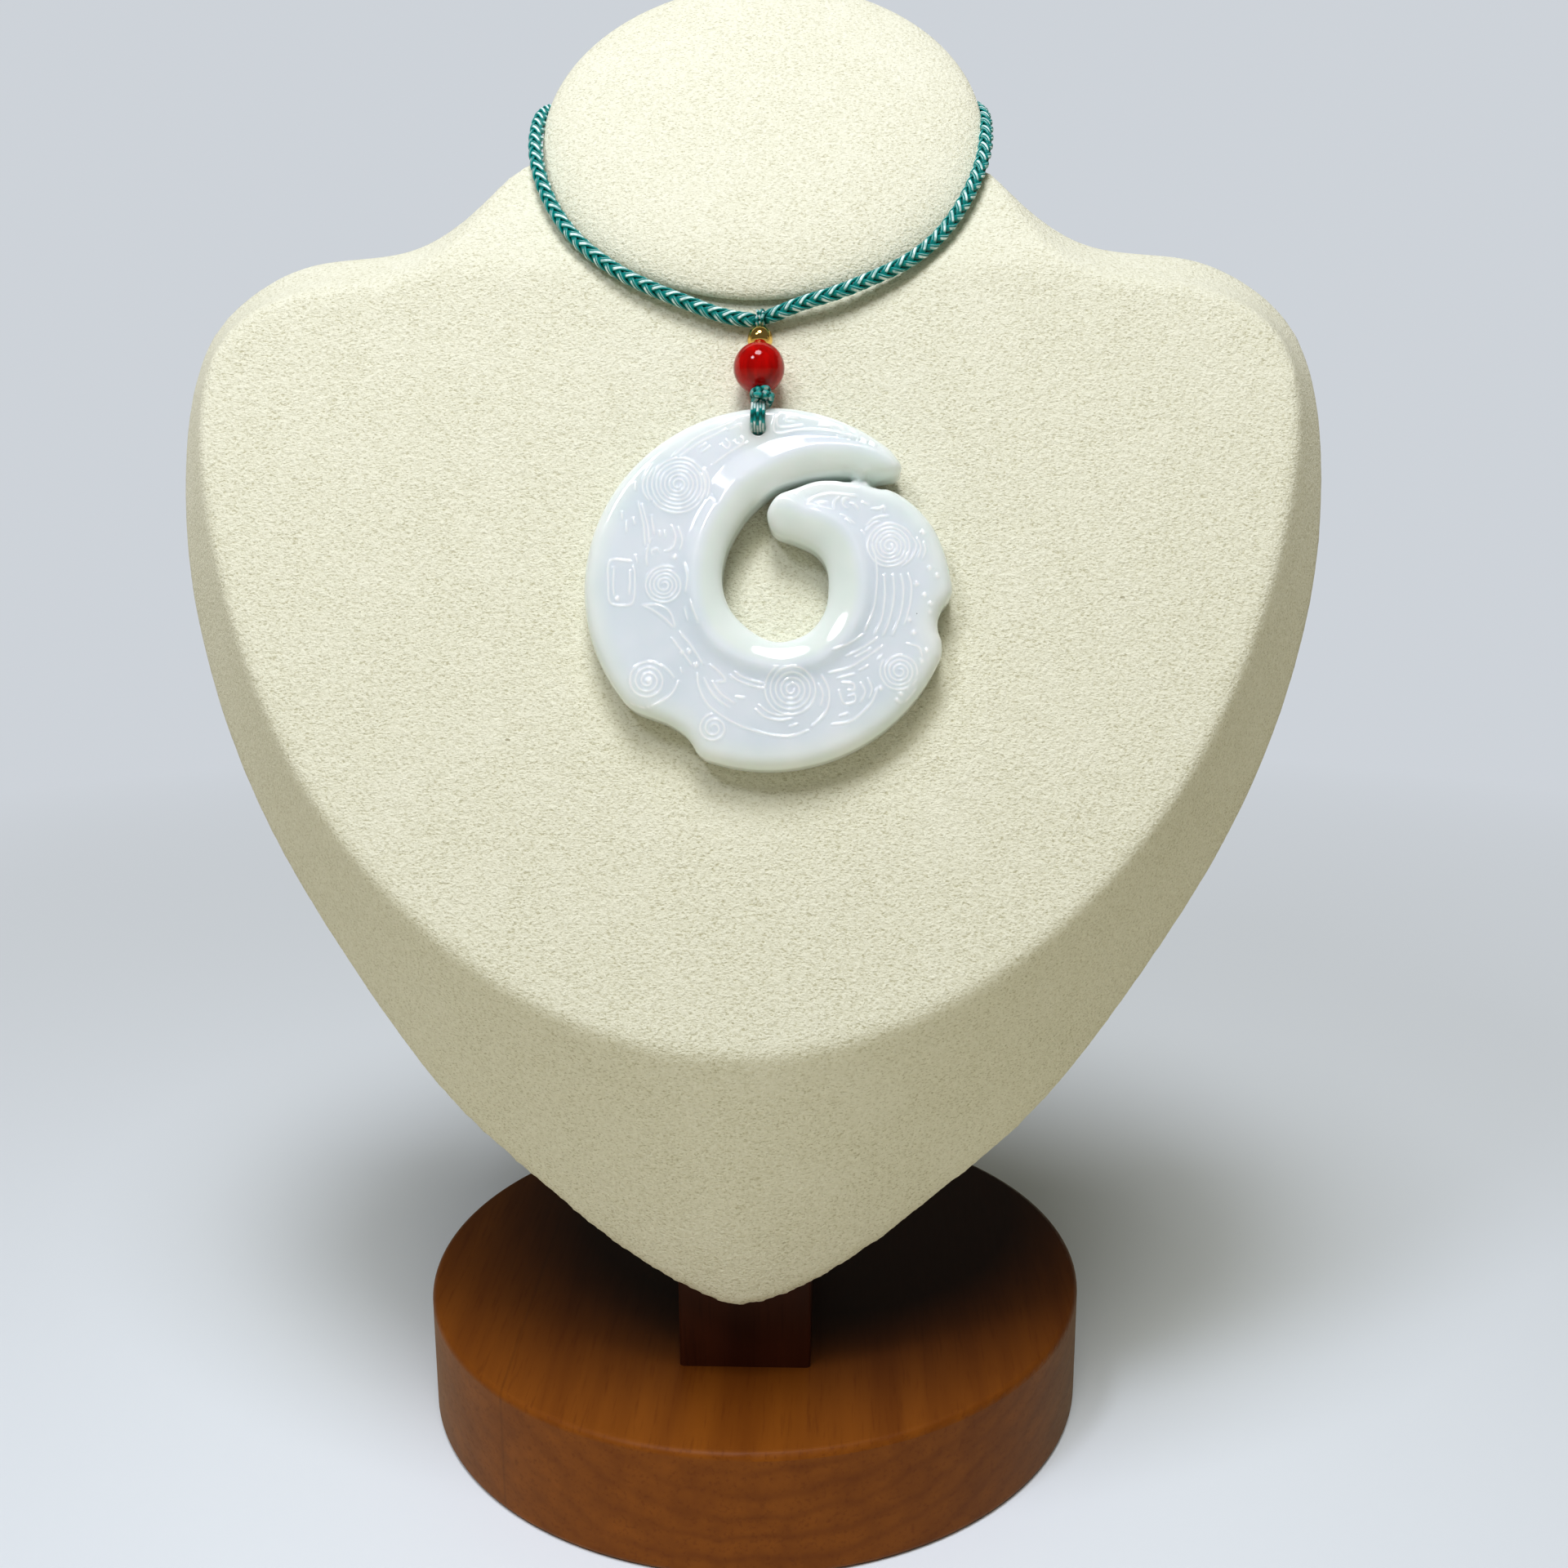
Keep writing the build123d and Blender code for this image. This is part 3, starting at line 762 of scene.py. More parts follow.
# %% Jade material
jade, tree, shader, place = new_material("white_jade_stone")
grain, cloud = mottled(tree, place, 900.0, 90.0)
clouds = ramp(tree, cloud, 0.35, 0.7)
cool = mix_colour(tree, clouds, (0.68, 0.75, 0.815, 1), (0.76, 0.81, 0.88, 1))
green = mix_colour(tree, clouds, (0.7, 0.775, 0.755, 1), (0.77, 0.83, 0.81, 1))
stone = mix_colour(tree, attribute(tree, "polish"), cool, green)
# Painted highlight: the tops of the carved lines are painted almost white.
ridge_highlight = times(tree, ramp(tree, attribute(tree, "raised"), 0.35, 1.0), 0.5)
stone = mix_colour(tree, ridge_highlight, stone, (0.97, 0.98, 0.99, 1))
stone = mix_colour(tree, flecks(tree, place, 260.0, 0.055, 0.9), stone, (0.12, 0.13, 0.16, 1))
fill(tree, shader, Base_Color=stone, Roughness=0.07, IOR=1.6)
fill(tree, shader, Subsurface_Weight=1.0, Subsurface_Radius=(0.9, 1.0, 0.95), Subsurface_Scale=0.005)
bump(tree, shader, grain, 0.00001, 0.15)

# %% [markdown]
# ## The pendant's outline
#
# The pendant is a carved disc: a curled body whose tail nearly meets its own back, with a round
# opening and a slit. Its outline is drawn in the pendant's own plane, in millimetres, as a few
# points with a smooth line through them. The same lines give the surface its edge points, so
# the rim stays clean however fine the carving is.

# %% Pendant frame and outline
pendant_lean = radians(21)
pendant_middle = Vector((4.6, -28.86, 151.01))
pendant_up = Vector((0, sin(pendant_lean), cos(pendant_lean)))
pendant_out = Vector((0, -cos(pendant_lean), sin(pendant_lean)))
pendant_radius = 28.2
face_height = 6.5
hole_across, hole_up, hole_radius = -1.9, 24.5, 1.15


def pendant_point(across, up, out):
    """A place in the pendant's own plane, in millimetres."""
    return pendant_middle + Vector((1, 0, 0)) * across + pendant_up * up + pendant_out * out


def smooth_line(points, step, closed=False):
    """Even points along a smooth line through the given ones (Catmull-Rom)."""
    rows = np.array(points, float)
    if closed:
        rows = np.vstack([rows[-1], rows, rows[0], rows[1]])
    else:
        rows = np.vstack([2 * rows[0] - rows[1], rows, 2 * rows[-1] - rows[-2]])
    t = np.linspace(0, 1, 24, endpoint=False)[:, None]
    parts = []
    for p0, p1, p2, p3 in zip(rows, rows[1:], rows[2:], rows[3:]):
        bend = 2 * p0 - 5 * p1 + 4 * p2 - p3
        twist = 3 * p1 - p0 - 3 * p2 + p3
        parts.append(0.5 * (2 * p1 + (p2 - p0) * t + bend * t**2 + twist * t**3))
    line = np.vstack(parts + [rows[-2][None]])
    runs = np.hypot(*np.diff(line, axis=0).T)
    far = np.concatenate([[0], np.cumsum(runs)])
    count = max(2, int(round(far[-1] / step)) + 1)
    even = np.linspace(0, far[-1], count)
    made = np.stack([np.interp(even, far, line[:, 0]), np.interp(even, far, line[:, 1])], 1)
    return made[:-1] if closed else made


def arc_points(start, end, count):
    """Points on the pendant's rim between two angles in degrees."""
    turns = np.radians(np.linspace(start, end, count))
    return [(pendant_radius * cos(turn), pendant_radius * sin(turn)) for turn in turns]


tail_tip = [
    (19.2, 20.3), (19.95, 19.1), (20.0, 18.1), (19.3, 17.3), (17.8, 16.95), (16.2, 16.6),
    (15.6, 16.1), (16.4, 15.7),
]
back_edge = [
    (19.1, 14.7), (21.3, 13.2), (23.3, 11.3), (25.2, 8.6), (26.6, 5.2), (27.4, 2.0),
    (27.75, -0.6),
]
right_notch = [(27.3, -2.0), (26.3, -3.4), (25.6, -5.2), (25.6, -7.0), (26.1, -8.6)]
left_notch = [
    (-10.6, -25.6), (-11.4, -24.3), (-12.6, -22.9), (-15.0, -21.3), (-17.6, -20.3),
    (-19.7, -19.5),
]
rim_loop = tail_tip + back_edge + right_notch + arc_points(-22.5, -109.5, 40)
rim_loop += left_notch + arc_points(-139.5, -310.5, 70)
opening_loop = [
    (11.6, 16.3), (7.3, 16.2), (4.0, 15.1), (1.3, 13.9), (-0.3, 11.6), (-0.1, 9.5), (1.1, 8.1),
    (4.1, 7.0), (7.0, 5.4), (8.7, 2.8), (9.0, -0.8), (8.4, -4.1), (6.3, -7.0), (3.1, -8.5),
    (0.3, -8.5), (-2.9, -6.8), (-5.9, -3.6), (-7.2, 0.9), (-6.4, 6.0), (-4.0, 10.6),
    (-1.1, 13.7), (1.5, 15.5), (5.2, 16.8), (9.3, 17.4), (11.8, 17.4), (12.5, 16.9),
]
hole_loop = [
    (hole_across + hole_radius * cos(turn), hole_up + hole_radius * sin(turn))
    for turn in np.linspace(0, 2 * pi, 12, endpoint=False)
]
outlines = (rim_loop, opening_loop, hole_loop)
edge_step = 0.2
loops = [smooth_line(loop, edge_step, closed=True) for loop in outlines]
print("rim", len(loops[0]), "opening", len(loops[1]), "hole", len(loops[2]), "edge points")

# %% [markdown]
# ## The carving
#
# The carving is the old pattern of hooked spirals and frets: thin raised lines about a third of a
# millimetre wide and three quarters apart. Spirals are given by their middle, radius and pitch,
# and every other line by a few points. A line fades out at its ends, as a carver lifts the tool.

# %% Lines of the carving
line_step, fade_run = 0.08, 0.7
# columns: middle across, middle up, outer radius, pitch, start angle in degrees
spirals = [
    (-14.0, 15.5, 4.6, 0.66, 200),
    (18.25, 5.8, 3.6, 0.64, 20),
    (-15.8, -0.3, 3.0, 0.62, 60),
    (3.6, -16.3, 4.2, 0.8, 80),
    (19.75, -13.5, 3.0, 0.68, 140),
    (-18.0, -15.0, 3.0, 0.85, 40),
    (-8.0, -22.2, 2.2, 0.8, 90),
    (-17.4, 4.75, 0.8, 0.7, 0),
    (-4.6, 22.6, 0.9, 0.7, 180),
]
carved_lines = [
    # crescents beside the large spiral
    [(-17.9, 18.9), (-19.2, 16.5), (-19.3, 14.5), (-18.2, 12.7)],
    [(-17.7, 18.2), (-18.6, 16.4), (-18.65, 14.6), (-17.8, 12.9)],
    [(-10.1, 18.2), (-9.3, 16.5), (-9.2, 15.0), (-9.6, 13.2)],
    [(-10.5, 17.6), (-9.95, 16.0), (-9.95, 14.5), (-10.6, 12.9)],
    [(-20.6, 16.0), (-20.5, 14.4)],
    # fret band along the top left
    [(-15.0, 19.8), (-11.5, 22.8), (-8.0, 24.5), (-5.3, 25.6)],
    [(-14.1, 19.7), (-11.0, 22.0), (-6.7, 24.3)],
    [(-11.0, 21.2), (-9.7, 22.1)],
    [(-10.6, 20.5), (-9.1, 21.6)],
    [(-8.9, 18.5), (-6.6, 20.3), (-4.2, 21.8), (-3.2, 22.2)],
    [(-6.6, 24.1), (-4.7, 24.9), (-4.3, 24.0)],
    [(-7.6, 22.0), (-6.6, 21.2), (-6.1, 21.9), (-7.0, 22.7)],
    # square spiral and three-cornered leaf in their frame along the top
    [(4.6, 26.7), (1.5, 26.9), (1.35, 24.6), (5.2, 24.8)],
    [(4.6, 25.9), (2.5, 26.0), (2.5, 25.4), (3.8, 25.4)],
    [(0.8, 26.9), (0.8, 23.7), (4.75, 24.1), (8.5, 24.0), (11.5, 23.4), (13.3, 23.0)],
    [(13.3, 23.0), (13.4, 23.7), (11.0, 25.3), (8.0, 26.5), (6.6, 26.8)],
    [(7.2, 24.8), (9.5, 24.6), (11.3, 24.2), (10.2, 25.1), (8.3, 25.9)],
    # flank on the left
    [(-20.1, 13.0), (-19.1, 9.0), (-18.8, 5.7)],
    [(-19.5, 12.6), (-18.5, 9.0), (-18.2, 6.0)],
    [(-18.0, 10.8), (-17.4, 7.5)],
    [(-22.5, 11.4), (-22.4, 9.8)],
    [(-21.8, 9.9), (-21.75, 7.8)],
    [(-20.8, 10.4), (-20.4, 9.0)],
    [(-20.3, 4.6), (-19.9, 3.1)],
    [(-16.8, 8.4), (-16.5, 7.2)],
    [(-16.0, 8.4), (-15.7, 7.1)],
    [(-20.7, 3.4), (-24.1, 3.5), (-24.3, 0.0), (-24.1, -2.6), (-23.1, -3.4), (-20.9, -3.3),
     (-20.3, -2.0), (-20.3, 1.5), (-20.7, 3.0)],
    [(-23.5, 2.7), (-23.55, 0.0), (-23.4, -2.2)],
    [(-21.1, 2.2), (-21.0, 0.0), (-21.1, -2.0)],
    # leaf under the left spiral
    [(-19.2, -3.4), (-17.5, -4.1), (-15.8, -5.3), (-14.0, -7.0)],
    [(-19.2, -3.4), (-16.6, -3.4), (-14.9, -4.4), (-13.9, -6.9)],
    [(-12.7, -3.6), (-12.1, -6.0)],
    # fine parallel lines that fill the flank between the spirals
    [(-17.9, 7.2), (-18.6, 4.6), (-18.4, 2.6)],
    [(-14.9, 9.2), (-14.2, 7.4), (-14.6, 5.6), (-15.9, 4.9)],
    [(-13.9, 9.0), (-13.2, 6.8), (-13.6, 5.0)],
    [(-12.9, 3.4), (-12.3, 0.8), (-12.6, -1.6)],
    [(-13.5, -7.3), (-11.6, -9.6), (-9.6, -12.6)],
    [(-14.6, -8.3), (-12.6, -10.9), (-11.2, -12.8)],
    [(-9.6, -14.4), (-8.2, -17.0), (-5.6, -19.2)],
    [(-8.4, -14.9), (-7.0, -16.9), (-4.7, -18.5)],
    [(-20.9, -18.2), (-18.2, -19.0), (-14.8, -17.4), (-13.2, -14.9)],
    [(9.6, -10.4), (12.2, -9.3), (14.6, -7.6)],
    [(18.7, 1.6), (18.9, -1.6), (18.3, -5.2), (17.2, -8.2)],
    [(13.9, -15.0), (14.6, -16.6), (13.8, -18.4)],
    [(14.9, -14.4), (15.6, -16.2), (15.0, -17.8)],
    [(22.3, -15.6), (21.4, -17.2), (19.6, -18.6)],
    [(-11.9, -2.5), (-11.2, -4.4), (-10.4, -6.2)],
    # belly
    [(-16.4, -12.4), (-15.0, -13.3), (-13.8, -14.8)],
    [(-13.2, -12.8), (-12.8, -14.0)],
    [(-8.9, -12.4), (-7.4, -13.5), (-6.4, -14.9), (-7.8, -15.2)],
    [(-5.8, -14.0), (-4.0, -15.1), (-2.0, -15.8), (-0.3, -16.2)],
    [(-5.2, -13.5), (-3.5, -14.5), (-1.8, -15.1), (-0.4, -15.4)],
    [(-4.9, -17.4), (-3.2, -17.6)],
    [(-10.6, -13.6), (-10.2, -16.2), (-8.6, -18.9), (-5.2, -21.2), (-1.4, -22.7), (3.0, -23.4),
     (6.4, -22.4)],
    [(-1.9, -19.2), (-0.2, -20.5), (1.9, -20.95), (4.0, -20.6)],
    [(-1.4, -18.5), (0.2, -19.7), (1.9, -20.2), (3.6, -19.9)],
    [(8.0, -13.9), (9.2, -16.5), (8.8, -19.6), (6.6, -22.0)],
    [(7.6, -15.2), (8.3, -17.0), (7.9, -19.0)],
    [(3.2, -22.0), (4.8, -21.4)],
    # long lines from the belly up the right flank
    [(9.0, -13.8), (12.0, -13.0), (14.5, -11.5), (17.4, -9.4)],
    [(10.3, -14.6), (13.2, -13.8)],
    [(11.6, -11.3), (14.0, -10.0), (16.6, -8.2)],
    [(12.9, -11.4), (15.6, -9.9)],
    [(13.6, -13.4), (15.2, -12.5)],
    [(16.4, -11.9), (17.3, -10.8)],
    [(15.5, 6.4), (16.2, 3.5), (16.3, 0.0), (15.8, -4.0), (14.4, -7.6)],
    [(17.4, 1.6), (17.5, -2.0), (17.0, -5.5), (15.9, -8.0)],
    [(19.9, 1.6), (20.3, -1.0), (19.9, -4.5), (18.6, -8.2)],
    [(21.0, 1.8), (21.5, -0.5), (21.2, -3.6), (20.3, -6.6)],
    # fret in the lower right
    [(10.9, -15.2), (12.8, -15.4), (12.9, -16.3), (11.9, -16.4)],
    [(12.0, -17.3), (13.1, -17.1), (12.9, -18.2), (11.4, -18.3), (10.6, -16.2)],
    [(10.7, -20.3), (12.2, -19.8)],
    [(9.5, -21.6), (12.6, -21.0), (15.3, -18.6), (16.5, -15.9)],
    [(23.2, -11.6), (22.6, -9.8), (20.6, -9.2)],
    # head: almond eye with its brow, and the arcs over the cheek spiral
    [(5.7, 12.4), (7.0, 13.45), (9.0, 13.95), (11.0, 13.85), (13.4, 13.6)],
    [(5.7, 12.4), (7.75, 11.9), (9.95, 11.4)],
    [(9.95, 11.4), (9.85, 12.5), (10.25, 13.2), (11.0, 13.8)],
    [(7.4, 12.45), (8.9, 12.6)],
    [(12.1, 13.3), (11.3, 13.2), (11.2, 12.2), (12.1, 11.6)],
    [(12.2, 12.6), (13.2, 12.1), (13.5, 11.2)],
    [(13.9, 12.7), (15.1, 12.3)],
    [(15.3, 11.6), (16.6, 11.6), (17.4, 11.9), (17.4, 11.0)],
    [(10.7, 10.9), (12.0, 10.1), (13.2, 9.1)],
    [(11.4, 10.2), (12.6, 9.1)],
    [(13.9, 8.3), (14.5, 7.7)],
    [(14.5, 8.9), (15.6, 9.9), (17.0, 10.4), (18.2, 10.5)],
    [(14.6, 8.1), (15.6, 9.2), (16.8, 9.7)],
    [(21.2, 7.8), (22.2, 6.0), (21.6, 4.0), (20.0, 2.6)],
    [(22.3, 7.3), (22.9, 5.6), (22.4, 3.7)],
    [(23.3, 6.6), (23.6, 5.2), (23.1, 3.6)],
]
# small bosses between the lines: across, up
bosses = [
    (22.3, -0.1), (23.5, -1.8), (24.4, -3.1), (24.3, -4.4), (21.2, -5.6), (21.9, -7.6),
    (23.8, -10.3), (23.1, -11.9), (16.9, -16.1), (19.9, -16.9), (19.4, -17.9), (24.3, 2.4),
    (25.4, 1.2), (23.3, 7.9), (-22.9, -2.4), (-17.9, -15.1), (-10.75, -12.6), (-12.9, -10.6),
    (-11.8, -10.5), (-14.3, 4.1),
]


def spiral_points(across, up, outer, pitch, start):
    """A spiral that winds inwards by one pitch a turn."""
    turns = (outer - 0.3) / pitch
    swing = np.linspace(0, 2 * pi * turns, max(12, int(outer * turns * 30)))
    radius = outer - pitch * swing / (2 * pi)
    angle = swing + radians(start)
    return np.stack([across + radius * np.cos(angle), up + radius * np.sin(angle)], 1)


def faded(line):
    """Strength along a line: nought at both ends, full after the fade."""
    run = np.arange(len(line)) * line_step
    return np.clip(np.minimum(run, run[::-1]) / fade_run, 0.0, 1.0) ** 0.5


ridge_parts = [smooth_line(line, line_step) for line in carved_lines]
ridge_parts += [smooth_line(spiral_points(*row)[::4], line_step) for row in spirals]
ridge_points = np.vstack(ridge_parts)
ridge_strength = np.concatenate([faded(line) for line in ridge_parts])
line_run = round(len(ridge_points) * line_step)
print("carved line", line_run, "mm long in", len(ridge_parts), "strokes")

# %% [markdown]
# ## The modelled face
#
# Under the carving the body is rounded. A crest runs from the tail round to the head. From it
# the surface falls in a wide smooth bevel to the opening, and along the top also outwards, in
# a narrow facet that catches the light. The height at any point of the face follows from its
# distances to the outline, to the crest and to the foot of that facet.

# %% Crest and facet
crest = [
    (19.4, 18.2), (17.5, 19.9), (14.0, 21.3), (9.0, 21.7), (5.0, 21.2), (1.0, 19.7),
    (-1.5, 18.3), (-4.75, 16.2), (-7.25, 13.2), (-9.4, 9.6), (-10.8, 5.0), (-11.2, 0.0),
    (-10.3, -5.0), (-8.2, -8.6), (-4.75, -11.2), (-1.5, -12.4), (2.0, -12.9), (6.0, -12.2),
    (8.6, -11.0), (11.4, -8.6), (13.3, -5.4), (14.2, -1.5), (14.0, 2.5), (13.0, 6.0),
    (11.2, 8.7), (8.6, 10.4), (5.6, 11.4), (3.0, 12.6), (1.6, 12.9),
]
slit_way = [
    (0.6, 13.4), (2.2, 15.1), (6.0, 16.5), (10.0, 16.9), (14.0, 16.5), (17.0, 16.0),
    (20.5, 16.4),
]
groove = [(11.4, 16.9), (13.0, 16.6), (14.6, 16.3), (16.8, 15.9)]
facet_foot = [
    (16.4, 21.6), (13.9, 22.4), (11.5, 22.9), (8.5, 23.3), (4.75, 23.3), (1.1, 22.8),
    (-1.6, 21.9), (-5.0, 20.2), (-7.4, 18.2), (-8.9, 16.0), (-8.9, 13.8), (-8.2, 12.4),
]
bevel_drop, facet_drop, groove_drop = 1.7, 0.8, 1.5
bevel_width, shoulder_width, groove_width = 4.5, 1.3, 0.75
rim_rolls = (1.9, 0.8, 0.35)
back_roll = 1.0
ridge_height, ridge_width, boss_height, boss_width = 0.22, 0.18, 0.26, 0.36


def tree_of(points):
    """A search tree for nearest points in the plane."""
    tree = KDTree(len(points))
    for number, place in enumerate(points):
        tree.insert((place[0], place[1], 0.0), number)
    tree.balance()
    return tree


def nearest(tree, places):
    """Distance to the nearest point of a tree, and that point's number."""
    found = [tree.find((across, up, 0.0)) for across, up in places]
    return np.array([hit[2] for hit in found]), np.array([hit[1] for hit in found])


def inside(places, loop):
    """Which places lie inside a closed loop."""
    across, up = places[:, 0], places[:, 1]
    within = np.zeros(len(places), bool)
    for (x0, y0), (x1, y1) in zip(loop, np.roll(loop, -1, axis=0)):
        if y0 == y1:
            continue
        crosses = (y0 > up) != (y1 > up)
        within ^= crosses & (across < (x1 - x0) * (up - y0) / (y1 - y0) + x0)
    return within


crest_line = smooth_line(crest, 0.1)
foot_line = smooth_line(facet_foot, 0.1)
bevel_zone = np.vstack([crest_line, smooth_line(slit_way, 0.3)])
crest_end = int(np.argmin(np.hypot(*(crest_line - foot_line[-1]).T)))
facet_zone = np.vstack([crest_line[: crest_end + 1], foot_line[::-1]])
fine_loops = [smooth_line(loop, 0.04, closed=True) for loop in outlines]
outline_kind = np.repeat([0, 1, 2], [len(loop) for loop in fine_loops])
outline_tree = tree_of(np.vstack(fine_loops))
crest_tree = tree_of(crest_line)
foot_tree = tree_of(foot_line)
groove_tree = tree_of(smooth_line(groove, 0.1))
ridge_tree = tree_of(ridge_points)
boss_tree = tree_of(bosses)
print("crest points", len(crest_line), "facet points", len(facet_zone), "bosses", len(bosses))


def roll_drop(depth, radius):
    """How far a rolled edge has dropped at a distance from the outline."""
    short = np.clip(radius - depth, 0.0, radius)
    return radius - np.sqrt(np.maximum(radius**2 - short**2, 0.0))


def face_heights(places):
    """Height of the pendant's front at each place, and how much of it is carving."""
    edge, which = nearest(outline_tree, places)
    to_ridge, stroke = nearest(ridge_tree, places)
    to_crest, to_foot, to_groove, to_boss = (
        nearest(tree, places)[0] for tree in (crest_tree, foot_tree, groove_tree, boss_tree)
    )
    in_bevel = inside(places, bevel_zone)
    in_facet = inside(places, facet_zone) & ~in_bevel
    far = to_crest / (to_crest + edge + 1e-6)
    room = np.clip((to_crest + edge) / bevel_width, 0, 1)
    bevel = bevel_drop * room * (0.35 * far + 0.65 * far**2)
    slope = facet_drop * to_crest / (to_crest + to_foot + 1e-6)
    shoulder = facet_drop * (1 - np.exp(-((to_crest / shoulder_width) ** 2)))
    drop = np.where(in_bevel, bevel, np.where(in_facet, slope, shoulder))
    drop = drop + groove_drop * np.exp(-((to_groove / groove_width) ** 2))
    carved = ridge_height * ridge_strength[stroke] * np.exp(-((to_ridge / ridge_width) ** 2))
    carved = np.maximum(carved, boss_height * np.exp(-((to_boss / boss_width) ** 2)))
    carved = np.where(in_bevel | in_facet, 0.0, carved)
    rolls = np.array(rim_rolls)[outline_kind[which]]
    return face_height - drop - roll_drop(edge, rolls) + carved, carved


# %% [markdown]
# ## From heights to a mesh
#
# Blender's constrained Delaunay routine joins scattered points into good triangles and keeps
# given edges. Rows of points follow every edge closely, fine points lie where there is carving,
# and coarse ones elsewhere, so the triangles go where they show.


# %% Surface points
field_reach = 29
row_share = 0.8660254
line_reach, boss_reach = 0.5, 0.7
front_rows = (0.07, 0.18, 0.34, 0.56, 0.84, 1.18, 1.55, 1.95)
back_rows = (0.1, 0.3, 0.6, 1.0)
fine_step, front_step, back_step = 0.16, 0.34, 0.9


def hex_points(step):
    """A field of points in a hexagonal pattern over the disc."""
    rows = []
    for number, up in enumerate(np.arange(-field_reach, field_reach, step * row_share)):
        across = np.arange(-field_reach + (step / 2) * (number % 2), field_reach, step)
        rows.append(np.stack([across, np.full_like(across, up)], 1))
    return np.vstack(rows)


def near_carving(places):
    """Which places lie on or beside a carved line or boss."""
    to_line, to_boss = (nearest(tree, places)[0] for tree in (ridge_tree, boss_tree))
    return (to_line < line_reach) | (to_boss < boss_reach)


def in_stone(places):
    """Which places are inside the rim and outside the openings."""
    return inside(places, loops[0]) & ~inside(places, loops[1]) & ~inside(places, loops[2])


def inset_row(loop, depth, inward):
    """A row of points along a loop, a little way into the stone."""
    ahead = np.roll(loop, -1, axis=0) - np.roll(loop, 1, axis=0)
    ahead /= np.hypot(*ahead.T)[:, None]
    side = np.stack([-ahead[:, 1], ahead[:, 0]], 1) * inward
    row = loop + side * depth
    clear, _ = nearest(outline_tree, row)
    return row[(clear > depth - 0.03) & in_stone(row)]


def winding_sign(loop):
    """Plus one where the loop runs anticlockwise."""
    x, y = loop.T
    return 1 if np.sum(x * np.roll(y, -1) - y * np.roll(x, -1)) > 0 else -1


def surface_points(depths, fine, coarse):
    """Edge loops, rows beside them and a field of points between them."""
    rows = list(loops)
    for loop, into in zip(loops, (1, -1, -1)):
        for depth in depths:
            if into == 1 or depth < 1.3:
                rows.append(inset_row(loop, depth, into * winding_sign(loop)))
    limit = depths[-1] + 0.12
    fields = [hex_points(coarse)]
    if fine:
        fields[0] = fields[0][~near_carving(fields[0])]
        dense = hex_points(fine)
        fields.append(dense[near_carving(dense)])
    for field in fields:
        field = field[in_stone(field)]
        clear, which = nearest(outline_tree, field)
        rim_limit = np.where(outline_kind[which] == 0, limit, min(limit, 1.25))
        rows.append(field[clear > rim_limit])
    return np.vstack(rows)


def triangulated(points):
    """Triangles of the stone between scattered points, with the edge loops kept."""
    edges, first = [], 0
    for loop in loops:
        ids = list(range(first, first + len(loop)))
        edges += list(zip(ids, ids[1:] + ids[:1]))
        first += len(loop)
    made = delaunay_2d_cdt([Vector(place) for place in points], edges, [], 0, 1e-6)
    places, faces, origins = made[0], made[2], made[3]
    number = np.zeros(len(places), int)
    for new, old in enumerate(origins):
        number[new] = old[0] if old else -1
    triangles = number[np.array([tuple(face) for face in faces])]
    triangles = triangles[(triangles >= 0).all(1)]
    middles = points[triangles].mean(1)
    return triangles[in_stone(middles)]


# %% Pendant mesh
def loop_bands(rows):
    """Faces between rows of edge points, one closed band after another for each loop."""
    faces, first = [], 0
    for loop in loops:
        for upper, lower in zip(rows, rows[1:]):
            for number in range(first, first + len(loop)):
                after = first + (number + 1 - first) % len(loop)
                faces.append((upper[number], upper[after], lower[after], lower[number]))
        first += len(loop)
    return faces


def keep_shares(mesh, carved):
    """Where the stone is plainly polished and where it is raised, kept for the material, which paints a
    highlight on the raised lines.
    """
    arms = [vertex.co / MM - pendant_middle for vertex in mesh.vertices]
    flat = np.array([(arm.x, arm.dot(pendant_up)) for arm in arms])
    to_crest, _ = nearest(crest_tree, flat)
    edge, _ = nearest(outline_tree, flat)
    polish = np.where(inside(flat, bevel_zone), np.clip(to_crest / 1.5, 0, 1), 0.0)
    polish = np.maximum(polish, np.clip(1 - edge / 4, 0, 1))
    raised = np.zeros(len(flat))
    raised[: len(carved)] = np.clip(carved / ridge_height, 0, 1)
    for name, shares in (("polish", polish), ("raised", raised)):
        mesh.attributes.new(name, "FLOAT", "POINT").data.foreach_set("value", shares)


def pendant_surface():
    """The whole pendant: carved front, plain back and the wall between them."""
    front = surface_points(front_rows, fine_step, front_step)
    back = surface_points(back_rows, None, back_step)
    heights, carved = face_heights(front)
    edge, _ = nearest(outline_tree, back)
    back_heights = roll_drop(edge, np.full(len(back), back_roll))
    points = [pendant_point(x, y, z) for (x, y), z in zip(front, heights)]
    points += [pendant_point(x, y, z) for (x, y), z in zip(back, back_heights)]
    shift = len(front)
    faces = [tuple(face) for face in triangulated(front)]
    faces += [tuple(face[::-1] + shift) for face in triangulated(back)]
    border = sum(len(loop) for loop in loops)
    wall_rows = [list(range(border))]
    for share in (0.33, 0.67):
        wall_rows.append(list(range(len(points), len(points) + border)))
        points += [
            pendant_point(x, y, z + (low - z) * share)
            for (x, y), z, low in zip(front[:border], heights, back_heights)
        ]
    wall_rows.append([shift + number for number in range(border)])
    print("pendant points", len(points), "front", len(front), "back", len(back))
    mesh = mesh_from("pendant", points, faces + loop_bands(wall_rows), jade)
    keep_shares(mesh, carved)
    return mesh


show("pendant", pendant_surface(), "white_jade", "jade_pendant")

